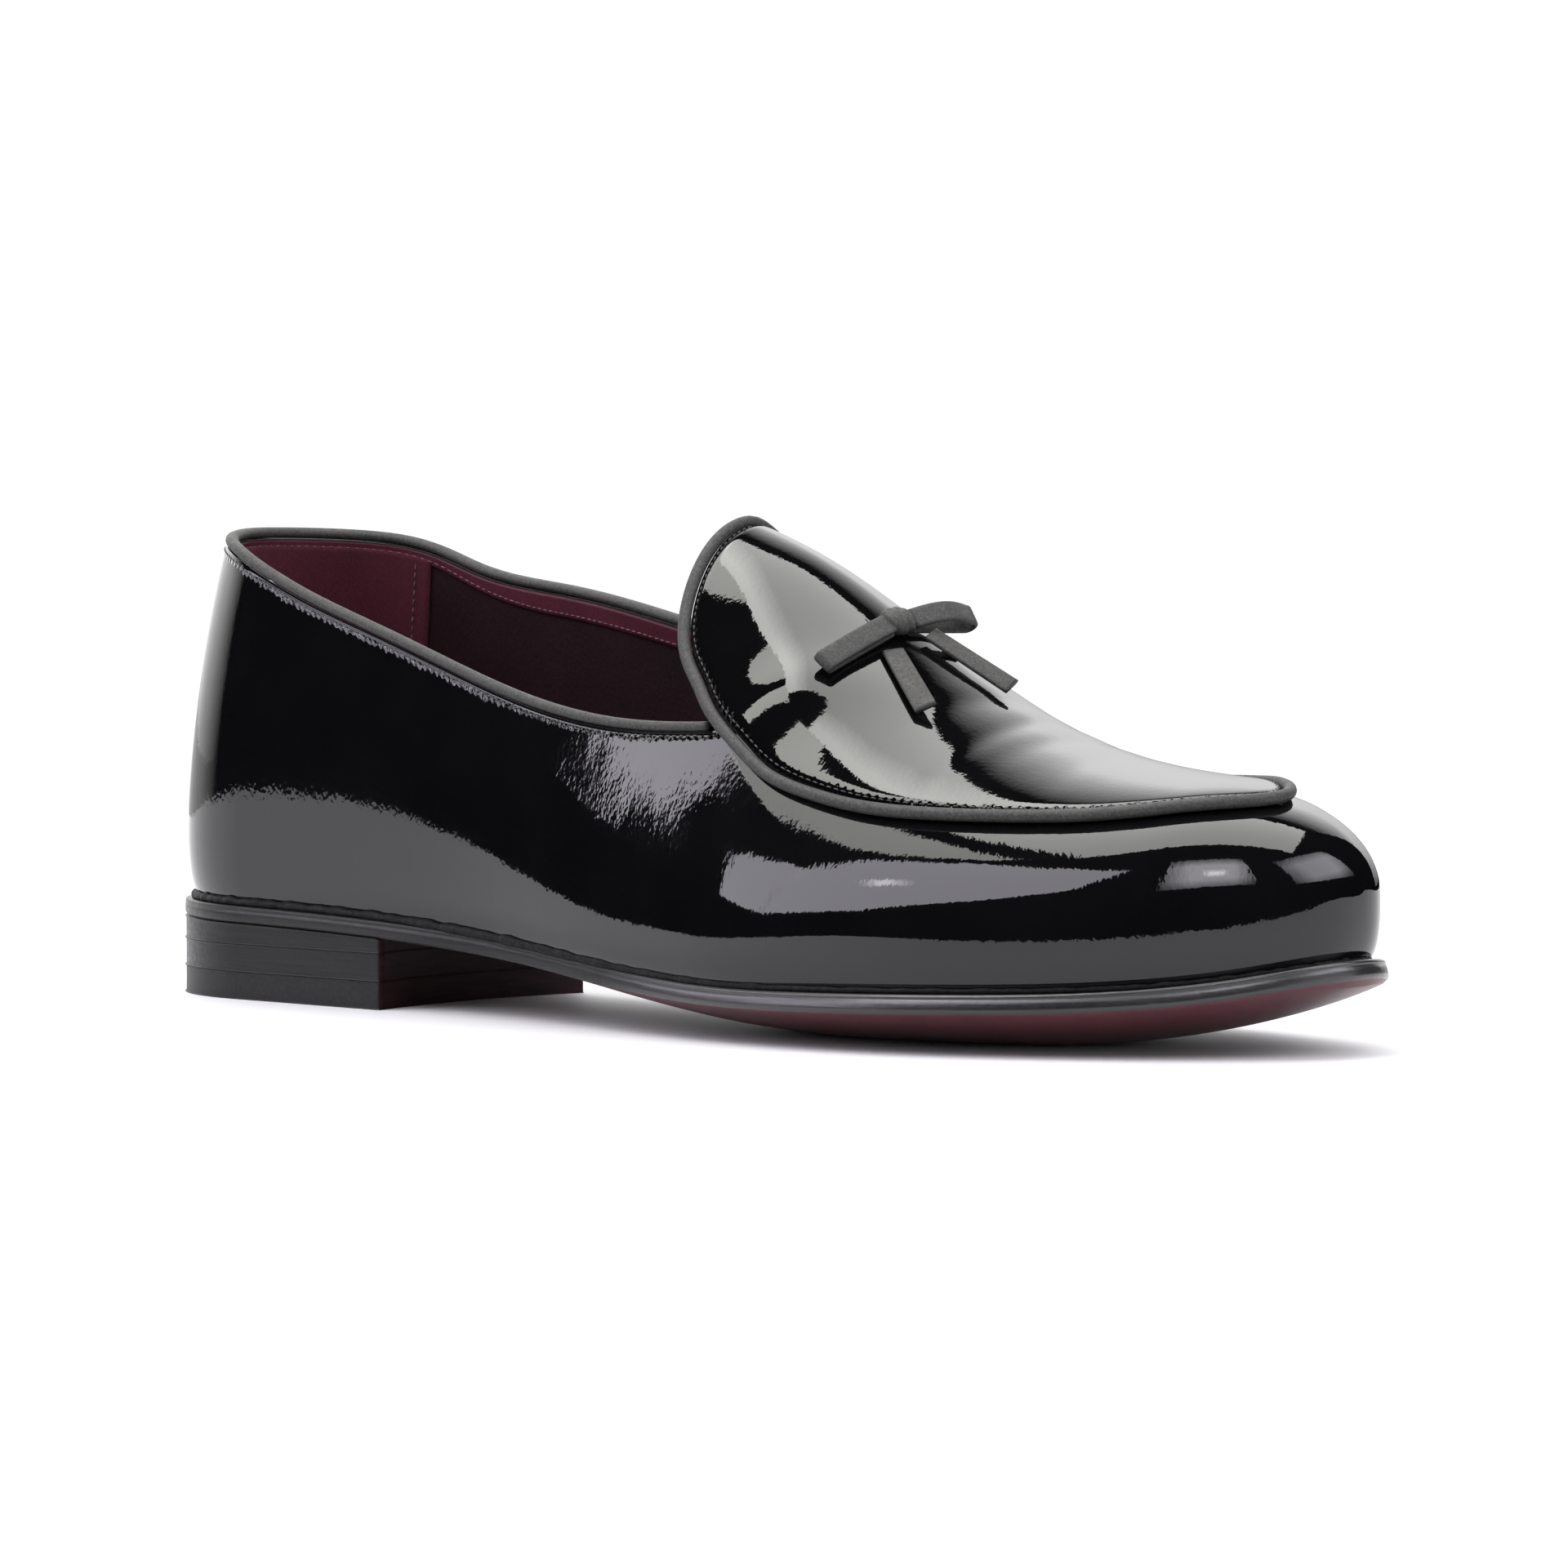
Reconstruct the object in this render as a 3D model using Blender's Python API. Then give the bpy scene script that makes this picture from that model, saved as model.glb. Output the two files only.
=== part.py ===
"""One belgian loafer for the right foot, as separate named solids.

Working frame in millimetres: x from the heel back to the toe, y towards the medial side, z up from
the floor. The finished part is moved so that its origin is the bottom centre of its box.
"""
import bmesh
import bpy
import numpy as np

MM = 0.001
CENTRE_X = 150.65
CENTRE_Y = -1.692

# The last: plan outline, crest over the foot and height of the widest line above the feather
LAST_COLUMNS = ("x", "mid", "half", "crest_y", "crest_z", "wide", "power")
LAST_ROWS = (
    (0, 0.0, 33.0, 0.0, 152.0, 19.0, 2.15),
    (40, -0.5, 33.0, -1.0, 152.0, 20.0, 2.15),
    (80, -3.0, 32.0, -2.0, 142.0, 19.2, 2.0),
    (115, -6.0, 32.5, -3.0, 120.0, 13.7, 1.85),
    (150, -8.0, 37.5, -3.0, 102.2, 8.0, 1.75),
    (170, -7.3, 41.6, -1.3, 94.0, 7.7, 1.76),
    (185, -6.0, 45.0, 0.5, 85.0, 8.0, 1.78),
    (215, -2.0, 48.5, 5.0, 64.8, 10.4, 1.88),
    (245, 1.5, 46.0, 8.5, 54.0, 10.3, 2.0),
    (270, 4.5, 41.0, 10.5, 51.0, 10.8, 2.1),
    (300, 9.0, 34.0, 11.0, 49.5, 12.0, 2.1),
)
LAST_START, LAST_END = 0.0, 300.0
HEEL_REACH, HEEL_POWER = 36.0, 2.1
TOE_REACH, TOE_POWER = 85.0, 2.3
TOE_DROP, DROP_POWER = 30.0, 2.2
SPINE_END = 262.0
LEAN, LEAN_START, LEAN_HEIGHT, LEAN_FADE = 11.0, 10.0, 70.0, 90.0
LEAN_POWER = 1.6
TUCK, TUCK_POWER = 3.4, 2.5

# The sole: plan outline, height of the edge's underside and how far the middle hangs below it
SOLE_COLUMNS = ("x", "mid", "half", "edge_z")
SOLE_ROWS = (
    (-0.5, 0.0, 33.5, 16.7),
    (40, -0.5, 33.2, 16.0),
    (79, -3.2, 31.6, 14.8),
    (115, -6.6, 30.0, 12.5),
    (150, -8.9, 35.4, 9.5),
    (185, -6.4, 44.6, 7.5),
    (215, -2.1, 49.4, 7.7),
    (245, 1.5, 47.2, 8.4),
    (270, 4.5, 42.4, 9.5),
    (288, 7.2, 38.5, 11.8),
    (301.8, 9.2, 35.5, 15.0),
)
CROWN_ROWS = ((79, 0.0), (105, 1.4), (130, 3.4), (155, 5.6), (180, 7.4), (200, 8.1), (230, 8.5), (250, 7.9),
              (270, 5.6), (288, 2.8), (301.8, 0.8))
SOLE_START, SOLE_END = -0.5, 301.8
EDGE = 3.8
EDGE_BEVEL = 0.7
CROWN_POWER = 2.2
INSOLE_THICK = 2.2

# The heel: two lifts and a top piece, cut straight down from the sole outline
HEEL_BREAST = 79.0
BREAST_HOLLOW = 4.0
TOP_PIECE_Z = 5.8
LOWER_LIFT_Z = 11.7
HEEL_INSET = 0.3
LAYER_GAP = 0.1

# The upper: wall, the rim that carries the collar piping, and its lap under the apron
WALL = 2.0
SEAT_GAP = 0.25
RIM_COLUMNS = ("x", "lateral", "medial")
RIM_ROWS = (
    (0, 98.2, 98.2),
    (20, 94.6, 96.2),
    (45, 86.9, 90.0),
    (80, 76.9, 85.7),
    (114, 66.6, 80.3),
    (140, 61.6, 75.2),
    (160, 60.4, 72.0),
    (190, 61.8, 70.0),
)
LAP_LEVEL = 0.92
LATERAL_BLEND = (176.0, 192.0)
MEDIAL_BLEND = (174.0, 190.0)

# The apron and its tongue: plan outline on the last, rounded at both ends
APRON_COLUMNS = ("x", "mid", "half")
APRON_ROWS = (
    (155.3, -4.2, 25.8),
    (160, -5.4, 25.6),
    (167.5, -6.8, 25.4),
    (174, -7.3, 27.8),
    (184, -7.3, 30.8),
    (193, -6.7, 33.2),
    (204, -5.2, 34.7),
    (219, -3.2, 34.2),
    (235, -1.2, 30.2),
    (245, -0.3, 26.4),
    (262, 1.4, 19.8),
    (281.8, 5.5, 16.0),
)
APRON_START, APRON_END = 155.3, 281.8
TONGUE_REACH, TONGUE_POWER = 14.0, 2.2
TIP_REACH, TIP_POWER = 30.0, 2.0
APRON_THICK = 1.6
OVERLAY_GAP = 0.3
APRON_PIPE = 1.3
PIPE_GAP = 0.15

# The collar piping: half width across the wall, half height, and where it meets the apron
COLLAR_PIPE_WIDE, COLLAR_PIPE_HIGH = 1.45, 1.2
COLLAR_END_LATERAL, COLLAR_END_MEDIAL = 174.0, 172.0

# The bow: straight ribbons over plan points of the apron, with the lift at both ends and a twist in degrees;
# a loop is a leg, a round end and a leg back over it
RIBBON_WIDE, RIBBON_THICK = 4.6, 1.1
KNOT_AT = (192.9, -3.8)
KNOT_GAP, MOUTH = 0.7, 1.5
KNOT_LONG, KNOT_WIDE, KNOT_HIGH = 6.2, 7.0, 4.6
LOOP_COLUMNS = ("name", "end", "lifts", "end_radius", "arch", "twist")
LOOP_ROWS = (
    ("bow_loop_lateral", (192.3, -23.9), (2.2, 2.9), 0.9, 0.3, -18.0),
    ("bow_loop_medial", (193.6, 12.3), (1.8, 5.4), 1.5, 1.7, 30.0),
)
TAIL_COLUMNS = ("name", "start", "end", "lifts", "twist")
TAIL_ROWS = (
    ("bow_tail_lateral", (197.5, -9.6), (211.9, -16.2), (1.2, 1.9), 25.0),
    ("bow_tail_medial", (196.8, 1.6), (212.9, 7.6), (2.0, 2.2), 28.0),
)
TWIST_START = 0.4

UPPER_STATIONS = 112
SOLE_STATIONS = 40
COLLAR_STATIONS = 56
APRON_STATIONS = 34


def spline(knots, values):
    """Natural cubic spline through the knots, as a function that works on arrays."""
    knots = np.asarray(knots, float)
    values = np.asarray(values, float)
    count = len(knots)
    steps = np.diff(knots)
    slopes = np.diff(values) / steps
    matrix = np.eye(count)
    right = np.zeros(count)
    for i in range(1, count - 1):
        matrix[i, i - 1:i + 2] = steps[i - 1], 2 * (steps[i - 1] + steps[i]), steps[i]
        right[i] = 6 * (slopes[i] - slopes[i - 1])
    bend = np.linalg.solve(matrix, right)

    def value(x):
        x = np.clip(np.asarray(x, float), knots[0], knots[-1])
        i = np.clip(np.searchsorted(knots, x) - 1, 0, count - 2)
        before = x - knots[i]
        after = knots[i + 1] - x
        cubic = (bend[i] * after**3 + bend[i + 1] * before**3) / (6 * steps[i])
        linear = (values[i] / steps[i] - bend[i] * steps[i] / 6) * after
        return cubic + linear + (values[i + 1] / steps[i] - bend[i + 1] * steps[i] / 6) * before

    return value


def table(columns, rows):
    """One spline over x for every further column of a table."""
    data = list(zip(*rows))
    return {name: spline(data[0], data[i]) for i, name in enumerate(columns) if i > 0}


LAST = table(LAST_COLUMNS, LAST_ROWS)
SOLE = table(SOLE_COLUMNS, SOLE_ROWS)
RIM = table(RIM_COLUMNS, RIM_ROWS)
APRON = table(APRON_COLUMNS, APRON_ROWS)
CROWN = spline(*zip(*CROWN_ROWS))


def rounded(distance, reach, power):
    """Rises from 0 at an end to 1 at the reach, along a superellipse."""
    near = 1 - np.clip(distance / reach, 0, 1)
    return np.maximum(1 - near**power, 0) ** (1 / power)


def smoothstep(low, high, x):
    t = np.clip((x - low) / (high - low), 0, 1)
    return t * t * (3 - 2 * t)


def swept(share, start, end):
    """x of a station; the cosine packs stations together at both round ends."""
    return start + (end - start) * (1 - np.cos(np.pi * share)) / 2


def last_half(x):
    ends = rounded(x - LAST_START, HEEL_REACH, HEEL_POWER) * rounded(LAST_END - x, TOE_REACH, TOE_POWER)
    return LAST["half"](x) * ends


def sole_half(x):
    ends = rounded(x - SOLE_START, HEEL_REACH, HEEL_POWER) * rounded(SOLE_END - x, TOE_REACH, TOE_POWER)
    return SOLE["half"](x) * ends


def apron_half(x):
    back = rounded(x - APRON_START, TONGUE_REACH, TONGUE_POWER)
    return APRON["half"](x) * back * rounded(APRON_END - x, TIP_REACH, TIP_POWER)


def apron_level(x, y):
    """0 on the apron's middle line, 1 on its edge."""
    return np.abs(y - APRON["mid"](x)) / np.maximum(apron_half(x), 1e-6)


def feather_z(x):
    return SOLE["edge_z"](x) + EDGE + SEAT_GAP


def wide_z(x):
    return feather_z(x) + LAST["wide"](x)


def crest_z(x):
    low = wide_z(x)
    return low + (LAST["crest_z"](x) - low) * rounded(LAST_END - x, TOE_DROP, DROP_POWER)


def last_height(x, y):
    """Height of the last's upper half over a plan point."""
    middle = LAST["mid"](x)
    crest = LAST["crest_y"](x)
    half = last_half(x)
    reach = np.where(y < crest, crest - middle + half, middle + half - crest)
    across = np.clip(np.abs(y - crest) / np.maximum(reach, 1e-6), 0, 1)
    low = wide_z(x)
    power = LAST["power"](x)
    return low + (crest_z(x) - low) * np.maximum(1 - across**power, 0) ** (1 / power)


def on_last(x, y, lift):
    """Point on the last's top, raised along its normal, with that normal."""
    step = 0.05
    slope_x = (last_height(x + step, y) - last_height(x - step, y)) / (2 * step)
    slope_y = (last_height(x, y + step) - last_height(x, y - step)) / (2 * step)
    normal = np.stack([-slope_x, -slope_y, np.ones_like(slope_x)], -1)
    normal /= np.linalg.norm(normal, axis=-1, keepdims=True)
    point = np.stack(np.broadcast_arrays(x, y, last_height(x, y)), -1)
    return point + normal * np.asarray(lift)[..., None], normal


def around(share):
    """Widest plan outline of the last; share 0 is the heel back, then lateral, toe, medial."""
    x = swept(2 * share, LAST_START, LAST_END)
    side = np.where(share < 0.5, -1.0, 1.0)
    return x, LAST["mid"](x) + side * last_half(x)


def leaned(x, y, z):
    """The heel back leans forward towards the collar."""
    up = np.maximum(z - feather_z(x) - LEAN_START, 0) / LEAN_HEIGHT
    fade = 1 - smoothstep(0, LEAN_FADE, x)
    return np.stack([x + LEAN * up**LEAN_POWER * fade, y, z], -1)


def side_wall(share, turn):
    """Upper half of the side: turn 0 on the widest line, pi / 2 on the crest."""
    edge_x, edge_y = around(share)
    spine_x = np.minimum(edge_x, SPINE_END)
    spine_y = LAST["crest_y"](spine_x)
    power = LAST["power"](edge_x)
    reach = np.cos(turn) ** (2 / power)
    x = spine_x + (edge_x - spine_x) * reach
    y = spine_y + (edge_y - spine_y) * reach
    low = wide_z(x)
    straight = low + (crest_z(x) - low) * np.sin(turn) ** (2 / power)
    return leaned(x, y, np.where(edge_x <= SPINE_END, straight, last_height(x, y)))


def inset_outline(share, inset):
    """Plan outline of the last moved inwards by a distance."""
    step = 1e-4
    ahead = np.stack(around((share + step) % 1), -1)
    behind = np.stack(around((share - step) % 1), -1)
    along = (ahead - behind) / np.linalg.norm(ahead - behind, axis=-1, keepdims=True)
    x, y = around(share)
    return x - along[..., 1] * inset, y + along[..., 0] * inset


def tucked_wall(share, turn):
    """Lower half of the side: turn 0 on the widest line, pi / 2 on the feather line."""
    x, y = inset_outline(share, TUCK * (1 - np.cos(turn) ** (2 / TUCK_POWER)))
    high = wide_z(x)
    z = high - (high - feather_z(x)) * np.sin(turn) ** (2 / TUCK_POWER)
    return leaned(x, y, z)


def rim_turn(share):
    """Turn of the upper's top edge: the collar behind, the lap under the apron in front."""
    edge_x, _ = around(share)
    lateral = share < 0.5
    rim = np.where(lateral, RIM["lateral"](edge_x), RIM["medial"](edge_x))
    rise = np.clip((rim - wide_z(edge_x)) / np.maximum(crest_z(edge_x) - wide_z(edge_x), 1e-6), 0, 1)
    collar = np.arcsin(rise ** (LAST["power"](edge_x) / 2))
    low = np.zeros_like(share)
    high = np.full_like(share, np.pi / 2)
    for _ in range(40):
        middle = (low + high) / 2
        point = side_wall(share, middle)
        outside = apron_level(point[..., 0], point[..., 1]) > LAP_LEVEL
        low = np.where(outside, middle, low)
        high = np.where(outside, high, middle)
    blend = np.where(lateral, smoothstep(*LATERAL_BLEND, edge_x), smoothstep(*MEDIAL_BLEND, edge_x))
    return collar * (1 - blend) + high * blend


def upper_grid(stations, tuck_steps, wall_steps):
    """Outer face of the upper: a row of points from feather to rim at every station."""
    share = np.arange(stations) / stations
    tuck = np.linspace(np.pi / 2, 0, tuck_steps + 1)[:-1]
    rise = np.linspace(0, 1, wall_steps + 1)
    rows = [tucked_wall(share, np.full(stations, turn)) for turn in tuck]
    top = rim_turn(share)
    rows += [side_wall(share, top * part) for part in rise]
    return np.stack(rows, 1)


def grid_normals(grid):
    """Outward normals of a grid that closes along its first axis."""
    along = np.roll(grid, -1, 0) - np.roll(grid, 1, 0)
    upward = np.gradient(grid, axis=1)
    normal = np.cross(along, upward)
    return normal / np.linalg.norm(normal, axis=-1, keepdims=True)


def add_solid(name, points, faces, material):
    """Closed solid from shoe millimetres, with outward faces."""
    place = (np.asarray(points, float) - (CENTRE_X, CENTRE_Y, 0)) * MM
    mesh = bpy.data.meshes.new(name)
    mesh.from_pydata([tuple(p) for p in place], [], faces)
    work = bmesh.new()
    work.from_mesh(mesh)
    bmesh.ops.remove_doubles(work, verts=work.verts, dist=1e-7)
    bmesh.ops.recalc_face_normals(work, faces=work.faces)
    work.to_mesh(mesh)
    work.free()
    mesh.materials.append(material)
    solid = bpy.data.objects.new(name, mesh)
    bpy.context.scene.collection.objects.link(solid)
    return solid


def add_slab(name, below, above, material, blunt=False):
    """Solid between two grids; the first row closes to a point, and so does the last unless it is blunt."""
    rows, across = below.shape[:2]
    points = np.concatenate([below.reshape(-1, 3), above.reshape(-1, 3)])
    lift = rows * across
    faces = []
    for i in range(rows - 1):
        for k in range(across - 1):
            a = i * across + k
            b = a + across
            faces.append((a, b, b + 1, a + 1))
            faces.append((a + lift, a + lift + 1, b + lift + 1, b + lift))
        for a in (i * across, i * across + across - 1):
            faces.append((a, a + across, a + across + lift, a + lift))
    if blunt:
        for a in range((rows - 1) * across, rows * across - 1):
            faces.append((a, a + 1, a + 1 + lift, a + lift))
    return add_solid(name, points, faces, material)


def add_ring(name, outer, inner, material):
    """Solid wall between two grids that close along their first axis."""
    stations, levels = outer.shape[:2]
    points = np.concatenate([outer.reshape(-1, 3), inner.reshape(-1, 3)])
    lift = stations * levels
    faces = []
    for i in range(stations):
        a = i * levels
        b = (i + 1) % stations * levels
        for k in range(levels - 1):
            faces.append((a + k, b + k, b + k + 1, a + k + 1))
            faces.append((lift + a + k, lift + a + k + 1, lift + b + k + 1, lift + b + k))
        for k in (0, levels - 1):
            faces.append((a + k, b + k, lift + b + k, lift + a + k))
    return add_solid(name, points, faces, material)


def add_sweep(name, sections, closed, material):
    """Solid through a row of sections, joined into a loop or capped at both ends."""
    count, corners = sections.shape[:2]
    faces = []
    for i in range(count if closed else count - 1):
        a = i * corners
        b = (i + 1) % count * corners
        for k in range(corners):
            after = (k + 1) % corners
            faces.append((a + k, b + k, b + after, a + after))
    if not closed:
        faces.append(tuple(range(corners)))
        faces.append(tuple(range((count - 1) * corners, count * corners)))
    return add_solid(name, sections.reshape(-1, 3), faces, material)


def oval_sections(centres, wide_axis, high_axis, wide, high, corners):
    angle = (np.arange(corners) + 0.5) * 2 * np.pi / corners
    across = np.cos(angle)[None, :, None] * wide_axis[:, None] * wide
    upward = np.sin(angle)[None, :, None] * high_axis[:, None] * high
    return centres[:, None] + across + upward


def tangents(path, closed):
    if closed:
        along = np.roll(path, -1, 0) - np.roll(path, 1, 0)
    else:
        along = np.gradient(path, axis=0)
    return along / np.linalg.norm(along, axis=-1, keepdims=True)


def make_material(name, colour, roughness):
    material = bpy.data.materials.new(name)
    material.use_nodes = True
    shader = material.node_tree.nodes["Principled BSDF"]
    shader.inputs["Base Color"].default_value = (*colour, 1)
    shader.inputs["Roughness"].default_value = roughness
    shader.inputs["Metallic"].default_value = 0
    return material


def sole_bottom(x, share):
    """Underside of the outsole; share runs from -1 on the lateral edge to 1 on the medial edge."""
    edge = SOLE["edge_z"](x)
    hang = np.maximum(CROWN(x), 0) * (1 - np.abs(share) ** CROWN_POWER)
    return np.maximum(edge - hang, 0)


def build_outsole(material):
    share = np.array([-1, -1, -0.9, -0.7, -0.45, -0.2, 0.2, 0.45, 0.7, 0.9, 1, 1])
    x = swept(np.linspace(0, 1, SOLE_STATIONS + 1), SOLE_START, SOLE_END)
    half = sole_half(x)
    trimmed = np.maximum(half - EDGE_BEVEL, 0)
    below = np.empty((len(x), len(share), 3))
    for k, part in enumerate(share):
        width = half if k in (0, len(share) - 1) else trimmed
        below[:, k, 0] = x
        below[:, k, 1] = SOLE["mid"](x) + part * width
        below[:, k, 2] = sole_bottom(x, part)
    for k in (0, len(share) - 1):
        below[1:-1, k, 2] += EDGE_BEVEL
    above = below.copy()
    above[..., 2] = (SOLE["edge_z"](x) + EDGE)[:, None]
    above[:, 1, 1] = above[:, 0, 1]
    above[:, -2, 1] = above[:, -1, 1]
    return add_slab("outsole", below, above, material)


def build_heel(material, rubber):
    """Lifts under the seat; every layer has the sole's outline and a hollowed breast."""
    shares = np.linspace(0, 1, SOLE_STATIONS + 1)
    x = swept(shares, SOLE_START + HEEL_INSET, SOLE_END)
    x = np.append(x[x < HEEL_BREAST - 4], HEEL_BREAST)
    half = np.maximum(sole_half(x) - HEEL_INSET, 0)
    half[0] = 0
    across = np.linspace(-1, 1, 9)
    plan_x = np.repeat(x[:, None], len(across), 1)
    hollow = BREAST_HOLLOW * smoothstep(0, HEEL_BREAST, x)[:, None] ** 3
    plan_x = plan_x - hollow * (1 - across**2)[None]
    plan_y = SOLE["mid"](x)[:, None] + half[:, None] * across[None]
    seat = SOLE["edge_z"](plan_x) - LAYER_GAP
    flat = np.zeros_like(plan_x)
    layers = (
        ("heel_lift_upper", flat + LOWER_LIFT_Z + LAYER_GAP, seat, material),
        ("heel_lift_lower", flat + TOP_PIECE_Z + LAYER_GAP, flat + LOWER_LIFT_Z, material),
        ("heel_top_piece", flat, flat + TOP_PIECE_Z, rubber),
    )
    for name, low, high, look in layers:
        below = np.stack([plan_x, plan_y, low], -1)
        above = np.stack([plan_x, plan_y, high], -1)
        add_slab(name, below, above, look, blunt=True)


def build_insole(material):
    count = 36
    share = np.linspace(0, 0.5, count + 1)
    inset = TUCK + WALL + 0.8
    lateral = np.stack(inset_outline(share, inset), -1)
    medial = np.stack(inset_outline((1 - share) % 1, inset), -1)
    medial[0] = lateral[0]
    medial[-1] = lateral[-1]
    across = np.linspace(0, 1, 5)[None, :, None]
    plan = lateral[:, None] * (1 - across) + medial[:, None] * across
    floor = SOLE["edge_z"](plan[..., 0]) + EDGE + SEAT_GAP
    below = np.concatenate([plan, floor[..., None]], -1)
    above = below + (0, 0, INSOLE_THICK)
    return add_slab("insole", below, above, material)


def build_upper(material):
    outer = upper_grid(UPPER_STATIONS, 4, 7)
    inner = outer - WALL * grid_normals(outer)
    inner[:, 0, 2] = feather_z(inner[:, 0, 0])
    outer[:, 0, 2] = feather_z(outer[:, 0, 0])
    return add_ring("upper", outer, inner, material)


def build_apron(leather, trim):
    x = swept(np.linspace(0, 1, APRON_STATIONS + 1), APRON_START, APRON_END)
    across = np.sin(np.linspace(-1, 1, 13) * np.pi / 2)
    plan_x = np.repeat(x[:, None], len(across), 1)
    plan_y = APRON["mid"](x)[:, None] + apron_half(x)[:, None] * across[None]
    below, _ = on_last(plan_x, plan_y, np.full_like(plan_x, OVERLAY_GAP))
    above, _ = on_last(plan_x, plan_y, np.full_like(plan_x, OVERLAY_GAP + APRON_THICK))
    add_slab("apron_tongue", below, above, leather)
    edge_x = np.concatenate([plan_x[:, 0], plan_x[-2:0:-1, -1]])
    edge_y = np.concatenate([plan_y[:, 0], plan_y[-2:0:-1, -1]])
    base, normal = on_last(edge_x, edge_y, np.zeros_like(edge_x))
    outward = np.cross(tangents(base, True), normal)
    outward /= np.linalg.norm(outward, axis=-1, keepdims=True)
    centres = base + normal * (OVERLAY_GAP + APRON_PIPE) + outward * (APRON_PIPE + PIPE_GAP)
    sections = oval_sections(centres, outward, normal, APRON_PIPE, APRON_PIPE, 8)
    add_sweep("apron_piping", sections, True, trim)


def share_at(x):
    """Share of the outline, from the heel back, at which a side reaches x."""
    return np.arccos(1 - 2 * (x - LAST_START) / (LAST_END - LAST_START)) / (2 * np.pi)


def build_collar_piping(material):
    """Piping on the upper's rim, from the apron's medial edge round the heel to its lateral edge."""
    share = np.linspace(-share_at(COLLAR_END_MEDIAL), share_at(COLLAR_END_LATERAL), COLLAR_STATIONS) % 1
    turn = rim_turn(share)
    rim = side_wall(share, turn)
    upward = rim - side_wall(share, turn - 0.01)
    upward /= np.linalg.norm(upward, axis=-1, keepdims=True)
    across = np.cross(tangents(rim, False), upward)
    across /= np.linalg.norm(across, axis=-1, keepdims=True)
    centres = rim - across * WALL / 2 + upward * (COLLAR_PIPE_HIGH + PIPE_GAP)
    sections = oval_sections(centres, across, upward, COLLAR_PIPE_WIDE, COLLAR_PIPE_HIGH, 8)
    add_sweep("collar_piping", sections, False, material)


def ribbon_sections(path, across):
    """Flat ribbon along a path: four corners at every point."""
    along = tangents(path, False)
    across = across - along * (across * along).sum(-1, keepdims=True)
    across /= np.linalg.norm(across, axis=-1, keepdims=True)
    upward = np.cross(along, across)
    corners = []
    for wide, high in ((-1, -1), (1, -1), (1, 1), (-1, 1)):
        corners.append(path + across * wide * RIBBON_WIDE / 2 + upward * high * RIBBON_THICK / 2)
    return np.stack(corners, 1)


def on_apron(plan, lift):
    """Points over the apron's top face, with the normals there."""
    return on_last(plan[:, 0], plan[:, 1], OVERLAY_GAP + APRON_THICK + np.asarray(lift))


def stiff_line(start, end, lifts):
    """Both ends and normals of a straight line over the apron, with its direction and length."""
    ends, normals = on_apron(np.array([start, end]), np.array(lifts))
    ahead = ends[1] - ends[0]
    length = np.linalg.norm(ahead)
    return ends, normals, ahead / length, length


def turned_normals(normals, ahead, share, twist):
    """Normals square to a straight line that turn about it by a twist in degrees."""
    share = share[:, None]
    between = normals[0] * (1 - share) + normals[1] * share
    between = between - np.outer(between @ ahead, ahead)
    between /= np.linalg.norm(between, axis=-1, keepdims=True)
    angle = np.radians(twist) * (TWIST_START + (1 - TWIST_START) * share)
    return between * np.cos(angle) + np.cross(ahead, between) * np.sin(angle)


def loop_path(end, lifts, end_radius, arch, twist):
    """Points and width directions of one loop, from the knot out, round its end and back over itself."""
    ends, normals, ahead, length = stiff_line(KNOT_AT, end, lifts)
    start = KNOT_LONG / 2 + KNOT_GAP
    straight = length - end_radius
    turn = np.linspace(-np.pi / 2, np.pi / 2, 7)[1:-1]
    part = np.linspace(0, 1, 6)
    distance = np.concatenate([start + (straight - start) * part, straight + end_radius * np.cos(turn),
                               straight + (start - straight) * part])
    open_share = np.sin(np.pi / 2 * (1 - part))
    back = MOUTH + (2 * end_radius - MOUTH) * open_share + arch * np.sin(np.pi * part)
    rise = np.concatenate([np.zeros(len(part)), end_radius * (1 + np.sin(turn)), back])
    upward = turned_normals(normals, ahead, distance / length, twist)
    return ends[0] + np.outer(distance, ahead) + upward * rise[:, None], np.cross(upward, ahead)


def build_bow(material):
    knot = np.array(KNOT_AT)
    axis = np.array(LOOP_ROWS[1][1]) - np.array(LOOP_ROWS[0][1])
    axis /= np.linalg.norm(axis)
    place = np.linspace(-0.5, 0.5, 7)
    plan = knot + np.outer(place * KNOT_LONG, axis)
    centres, normals = on_apron(plan, np.full(7, KNOT_HIGH / 2 + 0.2))
    centres[:] = centres[3] + np.outer(place * KNOT_LONG, tangents(centres, False)[3])
    across = np.cross(normals[3], tangents(centres, False)[3])
    swell = (1 - 0.28 * (2 * place) ** 2)[:, None, None]
    sections = oval_sections(np.zeros((7, 3)), np.tile(across, (7, 1)), np.tile(normals[3], (7, 1)),
                             KNOT_WIDE / 2, KNOT_HIGH / 2, 10)
    add_sweep("bow_knot", centres[:, None] + sections * swell, False, material)
    for name, end, *shape in LOOP_ROWS:
        path, across = loop_path(end, *shape)
        add_sweep(name, ribbon_sections(path, across), False, material)
    for name, start, end, lifts, twist in TAIL_ROWS:
        ends, normals, ahead, length = stiff_line(start, end, lifts)
        share = np.linspace(0, 1, 5)
        path = ends[0] + np.outer(share * length, ahead)
        across = np.cross(turned_normals(normals, ahead, share, twist), ahead)
        add_sweep(name, ribbon_sections(path, across), False, material)


def clear_scene():
    for item in list(bpy.data.objects):
        bpy.data.objects.remove(item)


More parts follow.
